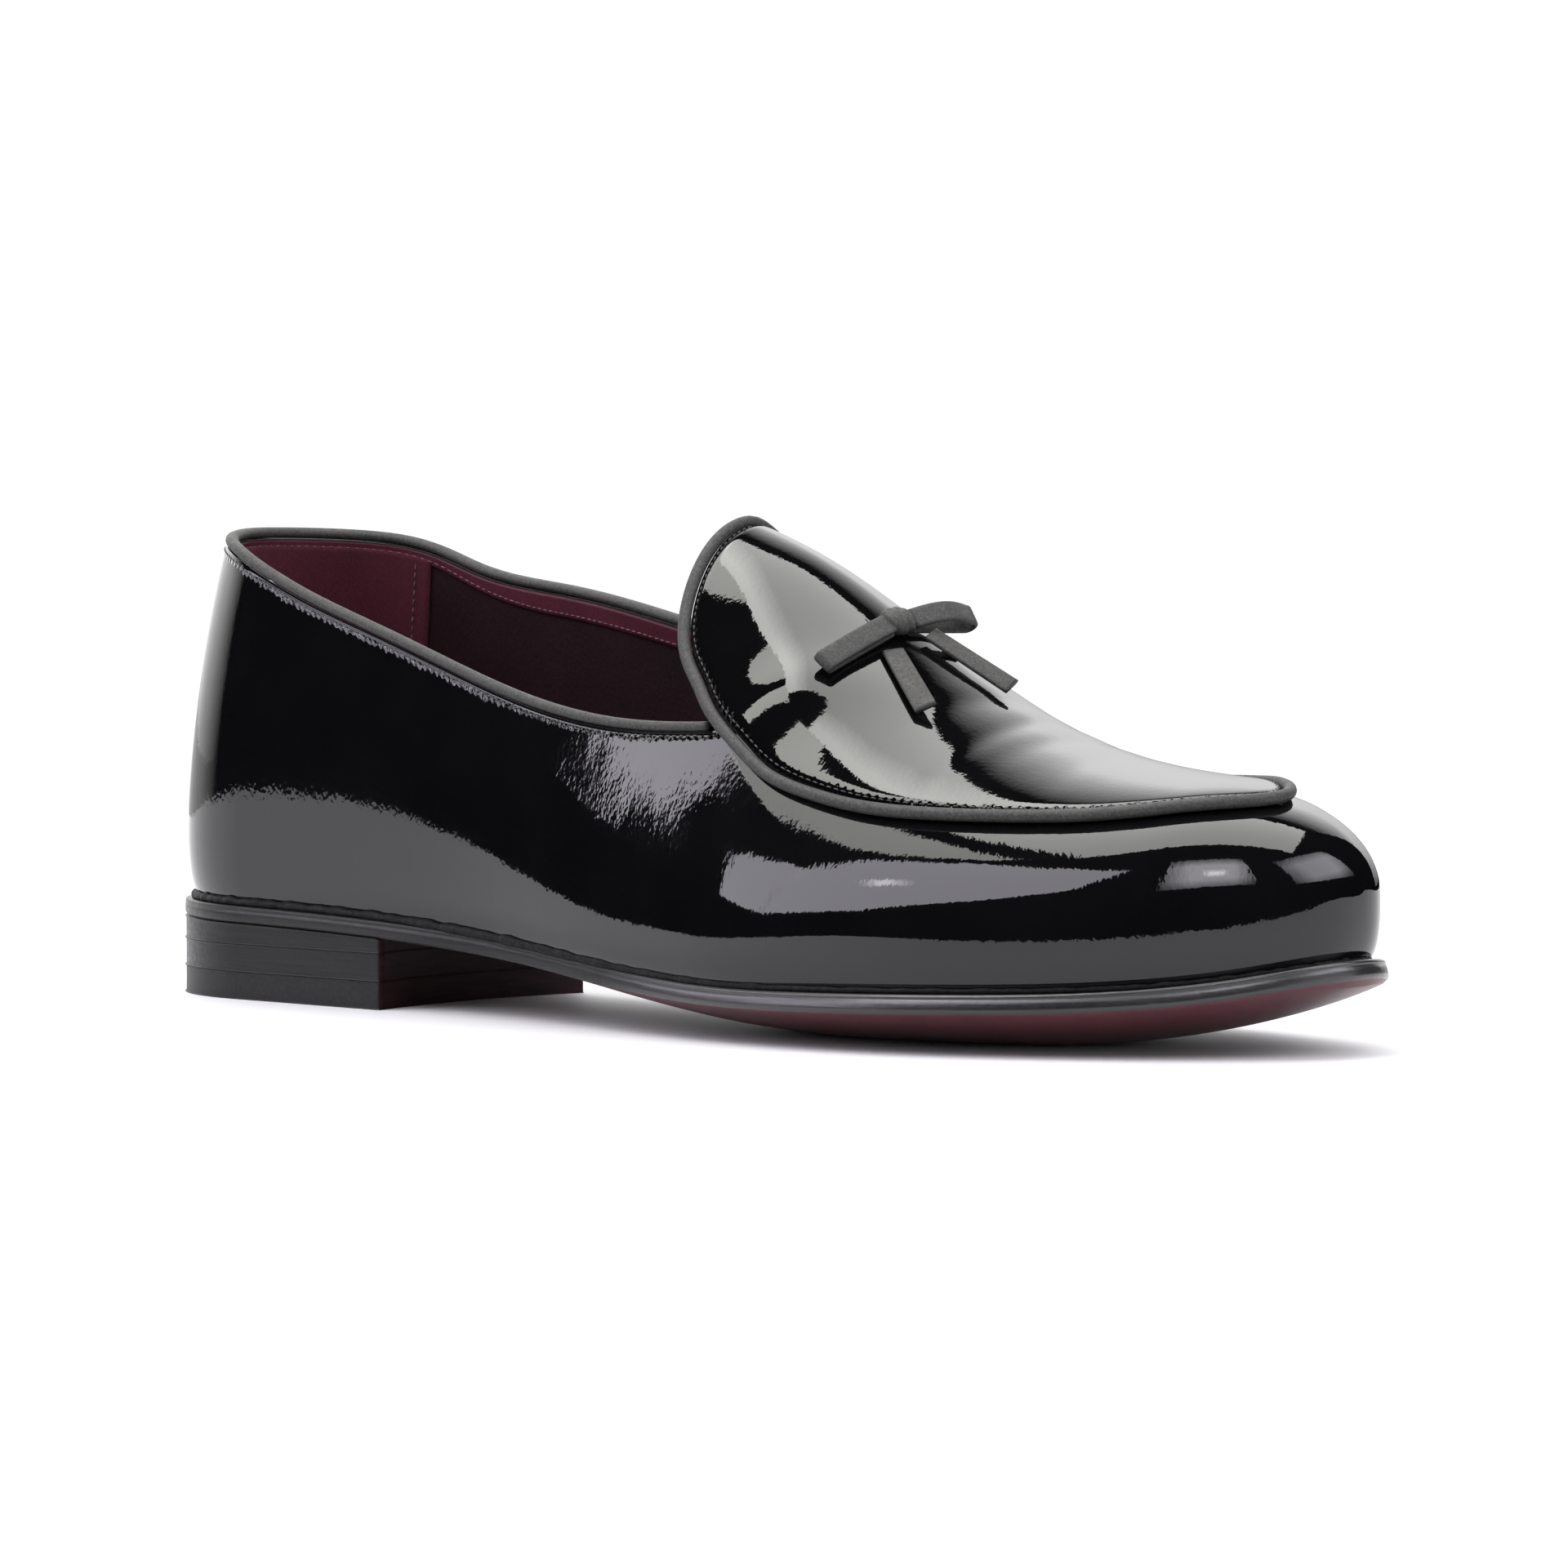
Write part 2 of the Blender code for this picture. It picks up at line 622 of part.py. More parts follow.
def main():
    clear_scene()
    patent = make_material("patent_leather", (0.012, 0.012, 0.014), 0.08)
    trim = make_material("trim_leather", (0.035, 0.034, 0.036), 0.55)
    sole_leather = make_material("sole_leather", (0.02, 0.018, 0.019), 0.4)
    heel_leather = make_material("heel_leather", (0.018, 0.017, 0.018), 0.4)
    rubber = make_material("heel_rubber", (0.015, 0.015, 0.016), 0.5)
    lining = make_material("lining_leather", (0.1, 0.02, 0.03), 0.7)
    build_outsole(sole_leather)
    build_heel(heel_leather, rubber)
    build_insole(lining)
    build_upper(patent)
    build_apron(patent, trim)
    build_collar_piping(trim)
    build_bow(trim)


main()
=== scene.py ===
"""Visual model of one belgian loafer for the right foot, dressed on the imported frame.

Shoe millimetres: x from the heel back to the toe, y towards the medial side, z up from the floor.
Every piece is placed in the frame by the same centre as the solids.
"""
import math

import bmesh
import bpy
import numpy as np
from mathutils import Matrix, Vector


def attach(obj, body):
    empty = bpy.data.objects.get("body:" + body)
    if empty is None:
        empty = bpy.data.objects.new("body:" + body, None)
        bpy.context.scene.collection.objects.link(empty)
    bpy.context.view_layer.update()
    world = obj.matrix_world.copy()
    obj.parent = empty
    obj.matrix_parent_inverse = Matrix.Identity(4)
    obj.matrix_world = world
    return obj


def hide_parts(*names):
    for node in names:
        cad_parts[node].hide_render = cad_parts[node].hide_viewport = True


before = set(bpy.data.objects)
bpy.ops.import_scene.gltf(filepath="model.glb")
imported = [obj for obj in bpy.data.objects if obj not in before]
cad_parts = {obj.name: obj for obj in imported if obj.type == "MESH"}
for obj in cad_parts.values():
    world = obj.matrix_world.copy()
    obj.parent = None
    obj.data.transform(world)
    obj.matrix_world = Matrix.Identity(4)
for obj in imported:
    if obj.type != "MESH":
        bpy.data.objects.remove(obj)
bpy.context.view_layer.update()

MM = 0.001
CENTRE_X = 150.65
CENTRE_Y = -1.692

# The last: plan outline, crest over the foot and height of the widest line above the feather
LAST_COLUMNS = ("x", "mid", "half", "crest_y", "crest_z", "wide", "power")
LAST_ROWS = (
    (0, 0.0, 33.0, 0.0, 152.0, 19.0, 2.15),
    (40, -0.5, 33.0, -1.0, 152.0, 20.0, 2.15),
    (80, -3.0, 32.0, -2.0, 142.0, 19.2, 2.0),
    (115, -6.0, 32.5, -3.0, 120.0, 13.7, 1.85),
    (150, -8.0, 37.5, -3.0, 102.2, 8.0, 1.75),
    (170, -7.3, 41.6, -1.3, 94.0, 7.7, 1.76),
    (185, -6.0, 45.0, 0.5, 85.0, 8.0, 1.78),
    (215, -2.0, 48.5, 5.0, 64.8, 10.4, 1.88),
    (245, 1.5, 46.0, 8.5, 54.0, 10.3, 2.0),
    (270, 4.5, 41.0, 10.5, 51.0, 10.8, 2.1),
    (300, 9.0, 34.0, 11.0, 49.5, 12.0, 2.1),
)
LAST_START, LAST_END = 0.0, 300.0
HEEL_REACH, HEEL_POWER = 36.0, 2.1
TOE_REACH, TOE_POWER = 85.0, 2.3
TOE_DROP, DROP_POWER = 30.0, 2.2
SPINE_END = 262.0
LEAN, LEAN_START, LEAN_HEIGHT, LEAN_FADE = 11.0, 10.0, 70.0, 90.0
LEAN_POWER = 1.6
TUCK, TUCK_POWER = 3.4, 2.5

# The sole: plan outline, height of the edge's underside and how far the middle hangs below it
SOLE_COLUMNS = ("x", "mid", "half", "edge_z")
SOLE_ROWS = (
    (-0.5, 0.0, 33.5, 16.7),
    (40, -0.5, 33.2, 16.0),
    (79, -3.2, 31.6, 14.8),
    (115, -6.6, 30.0, 12.5),
    (150, -8.9, 35.4, 9.5),
    (185, -6.4, 44.6, 7.5),
    (215, -2.1, 49.4, 7.7),
    (245, 1.5, 47.2, 8.4),
    (270, 4.5, 42.4, 9.5),
    (288, 7.2, 38.5, 11.8),
    (301.8, 9.2, 35.5, 15.0),
)
CROWN_ROWS = ((79, 0.0), (105, 1.4), (130, 3.4), (155, 5.6), (180, 7.4), (200, 8.1), (230, 8.5), (250, 7.9),
              (270, 5.6), (288, 2.8), (301.8, 0.8))
SOLE_START, SOLE_END = -0.5, 301.8
SOLE_SPINE = (30.0, 262.0)
EDGE = 3.8
EDGE_BEVEL = 0.7
CROWN_POWER = 2.2
INSOLE_THICK = 2.2

# The heel: two lifts and a top piece, cut straight down from the sole outline
HEEL_BREAST = 79.0
BREAST_HOLLOW = 4.0
TOP_PIECE_Z = 5.8
LOWER_LIFT_Z = 11.7
HEEL_INSET = 0.3
LAYER_GAP = 0.1

# The upper: its wall and the patent shell outside it
WALL = 2.0
SHELL = 1.1
# The counter: its front, how deep its two faces and its seams lie behind the wall, and the seams as rows
# of its grid, which start above the insole
COUNTER_FRONT = 27.0
COUNTER_DEPTHS = (0.03, 0.55)
COUNTER_SEAMS = (("lateral", -4), ("medial", 3))
COUNTER_SEAM_DEPTH, COUNTER_SEAM_START = 0.6, 10
LINING_GAP = 0.06
# The back strap: half width as a share of the outline, length as a share of the wall, taper and thickness
STRAP_SHARE, STRAP_DROP = 0.0025, 0.42
STRAP_POWER, STRAP_TIP = 2.2, 0.02
STRAP_EDGE, STRAP_CROWN, STRAP_SUNK = 0.25, 0.4, 0.1
SEAT_GAP = 0.25
# Height of the rim on both sides, and where it gives way to the lap under the apron
RIM_COLUMNS = ("x", "lateral", "medial")
RIM_ROWS = (
    (0, 98.2, 98.2),
    (20, 94.6, 96.2),
    (45, 86.9, 90.0),
    (80, 76.9, 85.7),
    (114, 66.6, 80.3),
    (140, 61.6, 75.2),
    (160, 60.4, 72.0),
    (190, 61.8, 70.0),
)
LAP_LEVEL = 0.92
LATERAL_BLEND = (176.0, 192.0)
MEDIAL_BLEND = (174.0, 190.0)

# The apron and its tongue: plan outline on the last, rounded at both ends, layers, and the roll of its edge
APRON_COLUMNS = ("x", "mid", "half")
APRON_ROWS = (
    (155.3, -4.2, 25.8),
    (160, -5.4, 25.6),
    (167.5, -6.8, 25.4),
    (174, -7.3, 27.8),
    (184, -7.3, 30.8),
    (193, -6.7, 33.2),
    (204, -5.2, 34.7),
    (219, -3.2, 34.2),
    (235, -1.2, 30.2),
    (245, -0.3, 26.4),
    (262, 1.4, 19.8),
    (281.8, 5.5, 16.0),
)
APRON_START, APRON_END = 155.3, 281.8
APRON_SPINE = (170.0, 258.0)
TONGUE_REACH, TONGUE_POWER = 14.0, 2.2
TIP_REACH, TIP_POWER = 30.0, 2.0
APRON_THICK = 1.6
OVERLAY_GAP = 0.3
APRON_PIPE = 1.3
PIPE_GAP = 0.15
ROLL_DEPTH, ROLL_REACH = 0.55, 0.9
APRON_SEAM_INSET = 0.75

# The collar: half width and half height of its piping, where it meets the apron, and the facing inside,
# which is tall at the sides and low round the heel
COLLAR_PIPE_WIDE, COLLAR_PIPE_HIGH = 1.45, 1.2
COLLAR_END_LATERAL, COLLAR_END_MEDIAL = 174.0, 174.2
FACING_TALL, FACING_LOW = 4.6, 2.2
FACING_SPAN = (30, 75)
FACING_START, FACING_DEPTHS = 0.1, (0.05, 0.4)
SEAM_DROP, FACING_SEAM_DEPTH = 0.9, 0.42

# The bow: straight ribbons over plan points of the apron; a loop is a leg, a round end and a leg back over it
RIBBON_WIDE, RIBBON_THICK = 4.6, 1.1
RIBBON_POWERS = (0.35, 0.6)
KNOT_AT = (192.9, -3.8)
KNOT_GAP, KNOT_LIFT, MOUTH = 0.25, 0.2, 1.5
KNOT_LONG, KNOT_WIDE, KNOT_HIGH = 6.2, 7.0, 4.6
# Folds round the knot: place along it, slant and depth, as shares of its size
KNOT_FOLDS = ((0.45, 0.25, 0.12), (-0.15, 0.3, 0.08), (-0.7, 0.15, 0.1))
FOLD_WIDE = 0.16
# Loops: name, end, lift at the knot and at the end, radius of the end, arch and twist in degrees
LOOP_ROWS = (
    ("bow_loop_lateral", (192.3, -23.9), (2.2, 2.9), 0.9, 0.3, -18.0),
    ("bow_loop_medial", (193.6, 12.3), (1.8, 5.4), 1.5, 1.7, 30.0),
)
# Tails: name, start, end, lift at both, and twist in degrees
TAIL_ROWS = (
    ("bow_tail_lateral", (197.5, -9.6), (211.9, -16.2), (1.2, 1.9), 25.0),
    ("bow_tail_medial", (196.8, 1.6), (212.9, 7.6), (2.0, 2.2), 28.0),
)
TWIST_START = 0.4

# Puckers of the patent along its sewn edges: pitch, depth, how far they sway and stray, where they end
PUCKER_PITCH, PUCKER_DEPTH = 1.8, 0.28
PUCKER_WAVE, PUCKER_STRAY = 0.22, 0.35
PUCKER_GAP = (0.9, 1.9)
APRON_PUCKER_SHIFT = 0.7

# Stitches: pitch, length and thickness in each row, then the shape that they share
COUNTER_STITCH = (2.0, 1.5, 0.35)
COLLAR_STITCH = (1.8, 1.3, 0.4)
FACING_STITCH = (1.9, 1.4, 0.32)
APRON_STITCH = (1.7, 1.25, 0.34)
STITCH_TAPER, STITCH_PROUD, STITCH_DIP = 0.75, 0.25, 0.5

# Soft creases over the apron: x, y, slant, width, reach and depth of a trough, or of a ridge if negative
CREASE_ROWS = (
    (214, 4, 0.10, 3.2, 20, 0.22),
    (223, 0, -0.06, 2.6, 22, 0.26),
    (232, 6, 0.05, 3.0, 17, 0.18),
    (243, 2, -0.10, 3.6, 15, 0.12),
    (188.5, -29.5, 0.66, 8.0, 12, -1.4),
)

# Fineness of the meshes; points closer than the weld, in millimetres, become one
UPPER_STATIONS, TUCK_STEPS, WALL_STEPS = 440, 12, 44
LINING_START, COUNTER_STATIONS, COUNTER_START = 2, 71, 4
COLLAR_STATIONS, APRON_STATIONS, PIPE_CORNERS = 420, 170, 14
SOLE_STATIONS, SOLE_TOP_STEPS, INSOLE_STATIONS = 260, (0.0, 0.5, 0.85), 240
RAND_STATIONS, RAND_CORNERS = 600, 12
KNOT_STATIONS, KNOT_CORNERS, RIBBON_CORNERS = 21, 28, 20
STITCH_STEPS, STITCH_CORNERS = 5, 6
WELD = 0.002

# Camera in shoe millimetres and degrees: the photo's place and angle, framed on the one shoe
CAMERA_AT = (1040.03, -1003.73, 109.2)
CAMERA_TURN = 41.2
CAMERA_TILT = 2.6
CAMERA_LENS, CAMERA_SENSOR = 150.0, 36.0
CAMERA_CLIP = (0.05, 50.0)


def spline(knots, values):
    """Natural cubic spline through the knots, as a function that works on arrays."""
    knots = np.asarray(knots, float)
    values = np.asarray(values, float)
    count = len(knots)
    steps = np.diff(knots)
    slopes = np.diff(values) / steps
    matrix = np.eye(count)
    right = np.zeros(count)
    for i in range(1, count - 1):
        matrix[i, i - 1:i + 2] = steps[i - 1], 2 * (steps[i - 1] + steps[i]), steps[i]
        right[i] = 6 * (slopes[i] - slopes[i - 1])
    bend = np.linalg.solve(matrix, right)

    def value(x):
        x = np.clip(np.asarray(x, float), knots[0], knots[-1])
        i = np.clip(np.searchsorted(knots, x) - 1, 0, count - 2)
        before = x - knots[i]
        after = knots[i + 1] - x
        cubic = (bend[i] * after**3 + bend[i + 1] * before**3) / (6 * steps[i])
        linear = (values[i] / steps[i] - bend[i] * steps[i] / 6) * after
        return cubic + linear + (values[i + 1] / steps[i] - bend[i + 1] * steps[i] / 6) * before

    return value


def table(columns, rows):
    """One spline over x for every further column of a table."""
    data = list(zip(*rows))
    return {name: spline(data[0], data[i]) for i, name in enumerate(columns) if i > 0}


LAST = table(LAST_COLUMNS, LAST_ROWS)
SOLE = table(SOLE_COLUMNS, SOLE_ROWS)
RIM = table(RIM_COLUMNS, RIM_ROWS)
APRON = table(APRON_COLUMNS, APRON_ROWS)
CROWN = spline(*zip(*CROWN_ROWS))


def rounded(distance, reach, power):
    """Rises from 0 at an end to 1 at the reach, along a superellipse."""
    near = 1 - np.clip(distance / reach, 0, 1)
    return np.maximum(1 - near**power, 0) ** (1 / power)


def smoothstep(low, high, x):
    t = np.clip((x - low) / (high - low), 0, 1)
    return t * t * (3 - 2 * t)


def unit(vectors):
    """Vectors scaled to a length of 1."""
    return vectors / np.linalg.norm(vectors, axis=-1, keepdims=True)


def swept(share, start, end):
    """x of a station; the cosine packs stations together at both round ends."""
    return start + (end - start) * (1 - np.cos(np.pi * share)) / 2


def last_half(x):
    ends = rounded(x - LAST_START, HEEL_REACH, HEEL_POWER) * rounded(LAST_END - x, TOE_REACH, TOE_POWER)
    return LAST["half"](x) * ends


def sole_half(x):
    ends = rounded(x - SOLE_START, HEEL_REACH, HEEL_POWER) * rounded(SOLE_END - x, TOE_REACH, TOE_POWER)
    return SOLE["half"](x) * ends


def apron_half(x):
    back = rounded(x - APRON_START, TONGUE_REACH, TONGUE_POWER)
    return APRON["half"](x) * back * rounded(APRON_END - x, TIP_REACH, TIP_POWER)


def apron_level(x, y):
    """0 on the apron's middle line, 1 on its edge."""
    return np.abs(y - APRON["mid"](x)) / np.maximum(apron_half(x), 1e-6)


def feather_z(x):
    return SOLE["edge_z"](x) + EDGE + SEAT_GAP


def wide_z(x):
    return feather_z(x) + LAST["wide"](x)


def crest_z(x):
    low = wide_z(x)
    return low + (LAST["crest_z"](x) - low) * rounded(LAST_END - x, TOE_DROP, DROP_POWER)


def last_height(x, y):
    """Height of the last's upper half over a plan point."""
    middle = LAST["mid"](x)
    crest = LAST["crest_y"](x)
    half = last_half(x)
    reach = np.where(y < crest, crest - middle + half, middle + half - crest)
    across = np.clip(np.abs(y - crest) / np.maximum(reach, 1e-6), 0, 1)
    low = wide_z(x)
    power = LAST["power"](x)
    return low + (crest_z(x) - low) * np.maximum(1 - across**power, 0) ** (1 / power)


def on_last(x, y, lift):
    """Point on the last's top, raised along its normal, with that normal."""
    step = 0.05
    slope_x = (last_height(x + step, y) - last_height(x - step, y)) / (2 * step)
    slope_y = (last_height(x, y + step) - last_height(x, y - step)) / (2 * step)
    normal = unit(np.stack([-slope_x, -slope_y, np.ones_like(slope_x)], -1))
    point = np.stack(np.broadcast_arrays(x, y, last_height(x, y)), -1)
    return point + normal * np.asarray(lift)[..., None], normal


def around(share):
    """Widest plan outline of the last; share 0 is the heel back, then lateral, toe, medial."""
    x = swept(2 * share, LAST_START, LAST_END)
    side = np.where(share < 0.5, -1.0, 1.0)
    return x, LAST["mid"](x) + side * last_half(x)


def leaned(x, y, z):
    """The heel back leans forward towards the collar."""
    up = np.maximum(z - feather_z(x) - LEAN_START, 0) / LEAN_HEIGHT
    fade = 1 - smoothstep(0, LEAN_FADE, x)
    return np.stack([x + LEAN * up**LEAN_POWER * fade, y, z], -1)


def side_wall(share, turn):
    """Upper half of the side: turn 0 on the widest line, pi / 2 on the crest."""
    edge_x, edge_y = around(share)
    spine_x = np.minimum(edge_x, SPINE_END)
    spine_y = LAST["crest_y"](spine_x)
    power = LAST["power"](edge_x)
    reach = np.cos(turn) ** (2 / power)
    x = spine_x + (edge_x - spine_x) * reach
    y = spine_y + (edge_y - spine_y) * reach
    low = wide_z(x)
    straight = low + (crest_z(x) - low) * np.sin(turn) ** (2 / power)
    return leaned(x, y, np.where(edge_x <= SPINE_END, straight, last_height(x, y)))


def inset_outline(share, inset):
    """Plan outline of the last moved inwards by a distance."""
    step = 1e-4
    ahead = np.stack(around((share + step) % 1), -1)
    behind = np.stack(around((share - step) % 1), -1)
    along = unit(ahead - behind)
    x, y = around(share)
    return x - along[..., 1] * inset, y + along[..., 0] * inset


def tucked_wall(share, turn):
    """Lower half of the side: turn 0 on the widest line, pi / 2 on the feather line."""
    x, y = inset_outline(share, TUCK * (1 - np.cos(turn) ** (2 / TUCK_POWER)))
    high = wide_z(x)
    z = high - (high - feather_z(x)) * np.sin(turn) ** (2 / TUCK_POWER)
    return leaned(x, y, z)


def rim_turn(share):
    """Turn of the upper's top edge: the collar behind, the lap under the apron in front."""
    edge_x, _ = around(share)
    lateral = share < 0.5
    rim = np.where(lateral, RIM["lateral"](edge_x), RIM["medial"](edge_x))
    rise = np.clip((rim - wide_z(edge_x)) / np.maximum(crest_z(edge_x) - wide_z(edge_x), 1e-6), 0, 1)
    collar = np.arcsin(rise ** (LAST["power"](edge_x) / 2))
    low = np.zeros_like(share)
    high = np.full_like(share, np.pi / 2)
    for _ in range(40):
        middle = (low + high) / 2
        point = side_wall(share, middle)
        outside = apron_level(point[..., 0], point[..., 1]) > LAP_LEVEL
        low = np.where(outside, middle, low)
        high = np.where(outside, high, middle)
    blend = np.where(lateral, smoothstep(*LATERAL_BLEND, edge_x), smoothstep(*MEDIAL_BLEND, edge_x))
    return collar * (1 - blend) + high * blend


def share_at(x):
    """Share of the outline, from the heel back, at which a side reaches x."""
    return np.arccos(1 - 2 * (x - LAST_START) / (LAST_END - LAST_START)) / (2 * np.pi)


def upper_grid(share):
    """Outer face of the upper: a row of points from feather to rim at every share of the outline."""
    tuck = np.linspace(np.pi / 2, 0, TUCK_STEPS + 1)[:-1]
    rise = np.linspace(0, 1, WALL_STEPS + 1)
    rows = [tucked_wall(share, np.full_like(share, turn)) for turn in tuck]
    top = rim_turn(share)
    rows += [side_wall(share, top * part) for part in rise]
    return np.stack(rows, 1)


def steps_along(path, closed):
    """Step along the first axis at each point of a path or grid that may close."""
    return np.roll(path, -1, 0) - np.roll(path, 1, 0) if closed else np.gradient(path, axis=0)


def grid_normals(grid, closed):
    """Outward normals of a grid that may close along its first axis."""
    along = steps_along(grid, closed)
    return unit(np.cross(along, np.gradient(grid, axis=1)))


def tangents(path, closed):
    return unit(steps_along(path, closed))


def lengths(path):
    """Distance along a path at each of its points."""
    steps = np.linalg.norm(np.diff(path, axis=0), axis=-1)
    return np.concatenate([[0], np.cumsum(steps)])


# Mesh makers
def add_piece(name, points, faces, materials, stands_for=(), slots=None, marks=None):
    """A smooth piece from shoe millimetres that rides on the one body and stands for its solids."""
    place = (np.asarray(points, float).reshape(-1, 3) - (CENTRE_X, CENTRE_Y, 0)) * MM
    mesh = bpy.data.meshes.new(name)
    mesh.from_pydata([tuple(p) for p in place], [], faces)
    for label, values in (marks or {}).items():
        layer = mesh.attributes.new(label, "FLOAT", "POINT")
        layer.data.foreach_set("value", np.asarray(values, np.float32).ravel())
    if slots is not None:
        mesh.polygons.foreach_set("material_index", np.asarray(slots, np.int32).ravel())
    work = bmesh.new()
    work.from_mesh(mesh)
    bmesh.ops.remove_doubles(work, verts=work.verts, dist=WELD * MM)
    bmesh.ops.recalc_face_normals(work, faces=work.faces)
    for face in work.faces:
        face.smooth = True
    work.to_mesh(mesh)
    work.free()
    for material in materials:
        mesh.materials.append(material)
    piece = bpy.data.objects.new(name, mesh)
    bpy.context.scene.collection.objects.link(piece)
    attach(piece, "root")
    if stands_for:
        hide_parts(*stands_for)


def grid_faces(rows, levels, close_rows, close_levels):
    """Quads of a grid, row by row, that may close along either axis."""
    faces = []
    for i in range(rows if close_rows else rows - 1):
        a = i * levels
        b = (i + 1) % rows * levels
        for k in range(levels if close_levels else levels - 1):
            after = (k + 1) % levels
            faces.append((a + k, b + k, b + after, a + after))
    return faces


def capped_faces(rows, levels):
    """Quads of an open sweep with a face over each end."""
    faces = grid_faces(rows, levels, False, True)
    faces.append(tuple(range(levels)))
    faces.append(tuple(range((rows - 1) * levels, rows * levels)))
    return faces


def add_grid(name, grid, materials, stands_for=(), slots=None, marks=None, close_levels=True):
    """A piece from a closed ring of point rows, whose rows may be closed loops too."""
    faces = grid_faces(*grid.shape[:2], True, close_levels)
    add_piece(name, grid, faces, materials, stands_for, slots, marks)


def add_sweep(name, sections, material, stands_for=()):
    """A piece from an open row of closed sections, with a face over each end."""
    add_piece(name, sections, capped_faces(*sections.shape[:2]), [material], stands_for)


def add_sheet(name, front, back, material):
    """Closed thin sheet between two open grids of the same size."""
    add_sweep(name, np.concatenate([front, back[:, ::-1]], 1), material)


def oval_sections(centres, wide_axis, high_axis, wide, high, corners):
    """Closed oval of points round every centre."""
    angle = (np.arange(corners) + 0.5) * 2 * np.pi / corners
    wide = np.broadcast_to(wide, len(centres))[:, None, None]
    high = np.broadcast_to(high, len(centres))[:, None, None]
    across = np.cos(angle)[None, :, None] * wide_axis[:, None] * wide
    upward = np.sin(angle)[None, :, None] * high_axis[:, None] * high
    return centres[:, None] + across + upward


def outline_ring(half, mid, start, end, count):
    """Closed plan outline: forward along the lateral side and back along the medial side."""
    x = swept(np.linspace(0, 1, count + 1), start, end)
    lateral = np.stack([x, mid(x) - half(x)], -1)
    medial = np.stack([x, mid(x) + half(x)], -1)
    return np.concatenate([lateral, medial[-2:0:-1]])


def plan_outward(ring):
    """Outward plan normals of an outline that runs lateral side first."""
    along = tangents(ring, True)
    return np.stack([along[:, 1], -along[:, 0]], -1)


def spine_of(ring, mid, span):
    """For every outline point, the point of the middle line that it fans out from."""
    x = np.clip(ring[:, 0], *span)
    return np.stack([x, mid(x)], -1)


def add_stitches(name, path, normals, shape, thread):
    """Row of sewn stitches along a path, each of which dips into the surface at both ends."""
    pitch, long, thick = shape
    distance = lengths(path)
    part = np.linspace(-1, 1, STITCH_STEPS)
    swell = np.sqrt(1 - STITCH_TAPER * part**2) * thick / 2
    dip = thick * (STITCH_PROUD - STITCH_DIP * part**2)
    points = []
    faces = []
    for i in range(int(distance[-1] / pitch)):
        at = (i + 0.5) * pitch + part * long / 2
        line = np.stack([np.interp(at, distance, path[:, k]) for k in range(3)], -1)
        up = unit(np.stack([np.interp(at, distance, normals[:, k]) for k in range(3)], -1))
        across = np.cross(tangents(line, False), up)
        points.append(oval_sections(line + up * dip[:, None], across, up, swell, swell, STITCH_CORNERS))
        base = i * STITCH_STEPS * STITCH_CORNERS
        faces += [tuple(base + v for v in face) for face in capped_faces(STITCH_STEPS, STITCH_CORNERS)]
    add_piece(name, np.concatenate(points), faces, [thread])


# Materials
def put(tree, socket, value):
    """Links a socket to the output of a node, or sets its value."""
    if isinstance(value, bpy.types.NodeSocket):
        tree.links.new(value, socket)
    else:
        socket.default_value = value


def fill(tree, node, **inputs):
    """Links or sets inputs of a node by socket name."""
    for name, value in inputs.items():
        put(tree, node.inputs[name.replace("_", " ")], value)


def add_node(tree, kind, settings=None, **inputs):
    """A node with its settings and with input values or links by socket name."""
    node = tree.nodes.new(kind)
    for name, value in (settings or {}).items():
        setattr(node, name, value)
    fill(tree, node, **inputs)
    return node


def new_material(name, colour, roughness):
    """Principled material with its shader, ready for texture nodes."""
    material = bpy.data.materials.new(name)
    material.use_nodes = True
    tree = material.node_tree
    shader = tree.nodes["Principled BSDF"]
    fill(tree, shader, Base_Color=(*colour, 1), Roughness=roughness)
    return material, tree, shader


def noise(tree, scale, detail=2.0, roughness=0.5, stretch=(1, 1, 1)):
    """Noise over object coordinates in metres, which may be stretched."""
    place = add_node(tree, "ShaderNodeTexCoord").outputs["Object"]
    vector = add_node(tree, "ShaderNodeMapping", Vector=place, Scale=stretch).outputs["Vector"]
    inputs = {"Vector": vector, "Scale": scale, "Detail": detail, "Roughness": roughness}
    return add_node(tree, "ShaderNodeTexNoise", **inputs).outputs["Fac"]


def mark(tree, name):
    """A value that the mesh carries at its points."""
    return add_node(tree, "ShaderNodeAttribute", {"attribute_name": name}).outputs["Fac"]


def ramp(tree, value, low, high, start, end):
    """Value carried from one range to another and held at the ends."""
    ranges = {"From_Min": low, "From_Max": high, "To_Min": start, "To_Max": end}
    return add_node(tree, "ShaderNodeMapRange", Value=value, **ranges).outputs["Result"]


def tint(tree, value, dark, light):
    """Colour between two tones by a value from 0 to 1."""
    node = add_node(tree, "ShaderNodeMix", {"data_type": "RGBA"})
    for socket, item in ((0, value), (6, (*dark, 1)), (7, (*light, 1))):
        put(tree, node.inputs[socket], item)
    return node.outputs[2]


def bump(tree, height, strength, depth, below=None):
    """Bump of a depth in millimetres, laid over an earlier bump."""
    node = add_node(tree, "ShaderNodeBump", Height=height, Strength=strength, Distance=depth * MM)
    if below is not None:
        fill(tree, node, Normal=below)
    return node.outputs["Normal"]


def combine(tree, operation, first, second):
    node = add_node(tree, "ShaderNodeMath", {"operation": operation})
    put(tree, node.inputs[0], first)
    put(tree, node.inputs[1], second)
    return node.outputs[0]


# Middle range of a noise, over which tones and roughness run from one end to the other
SPAN = (0.3, 0.7)
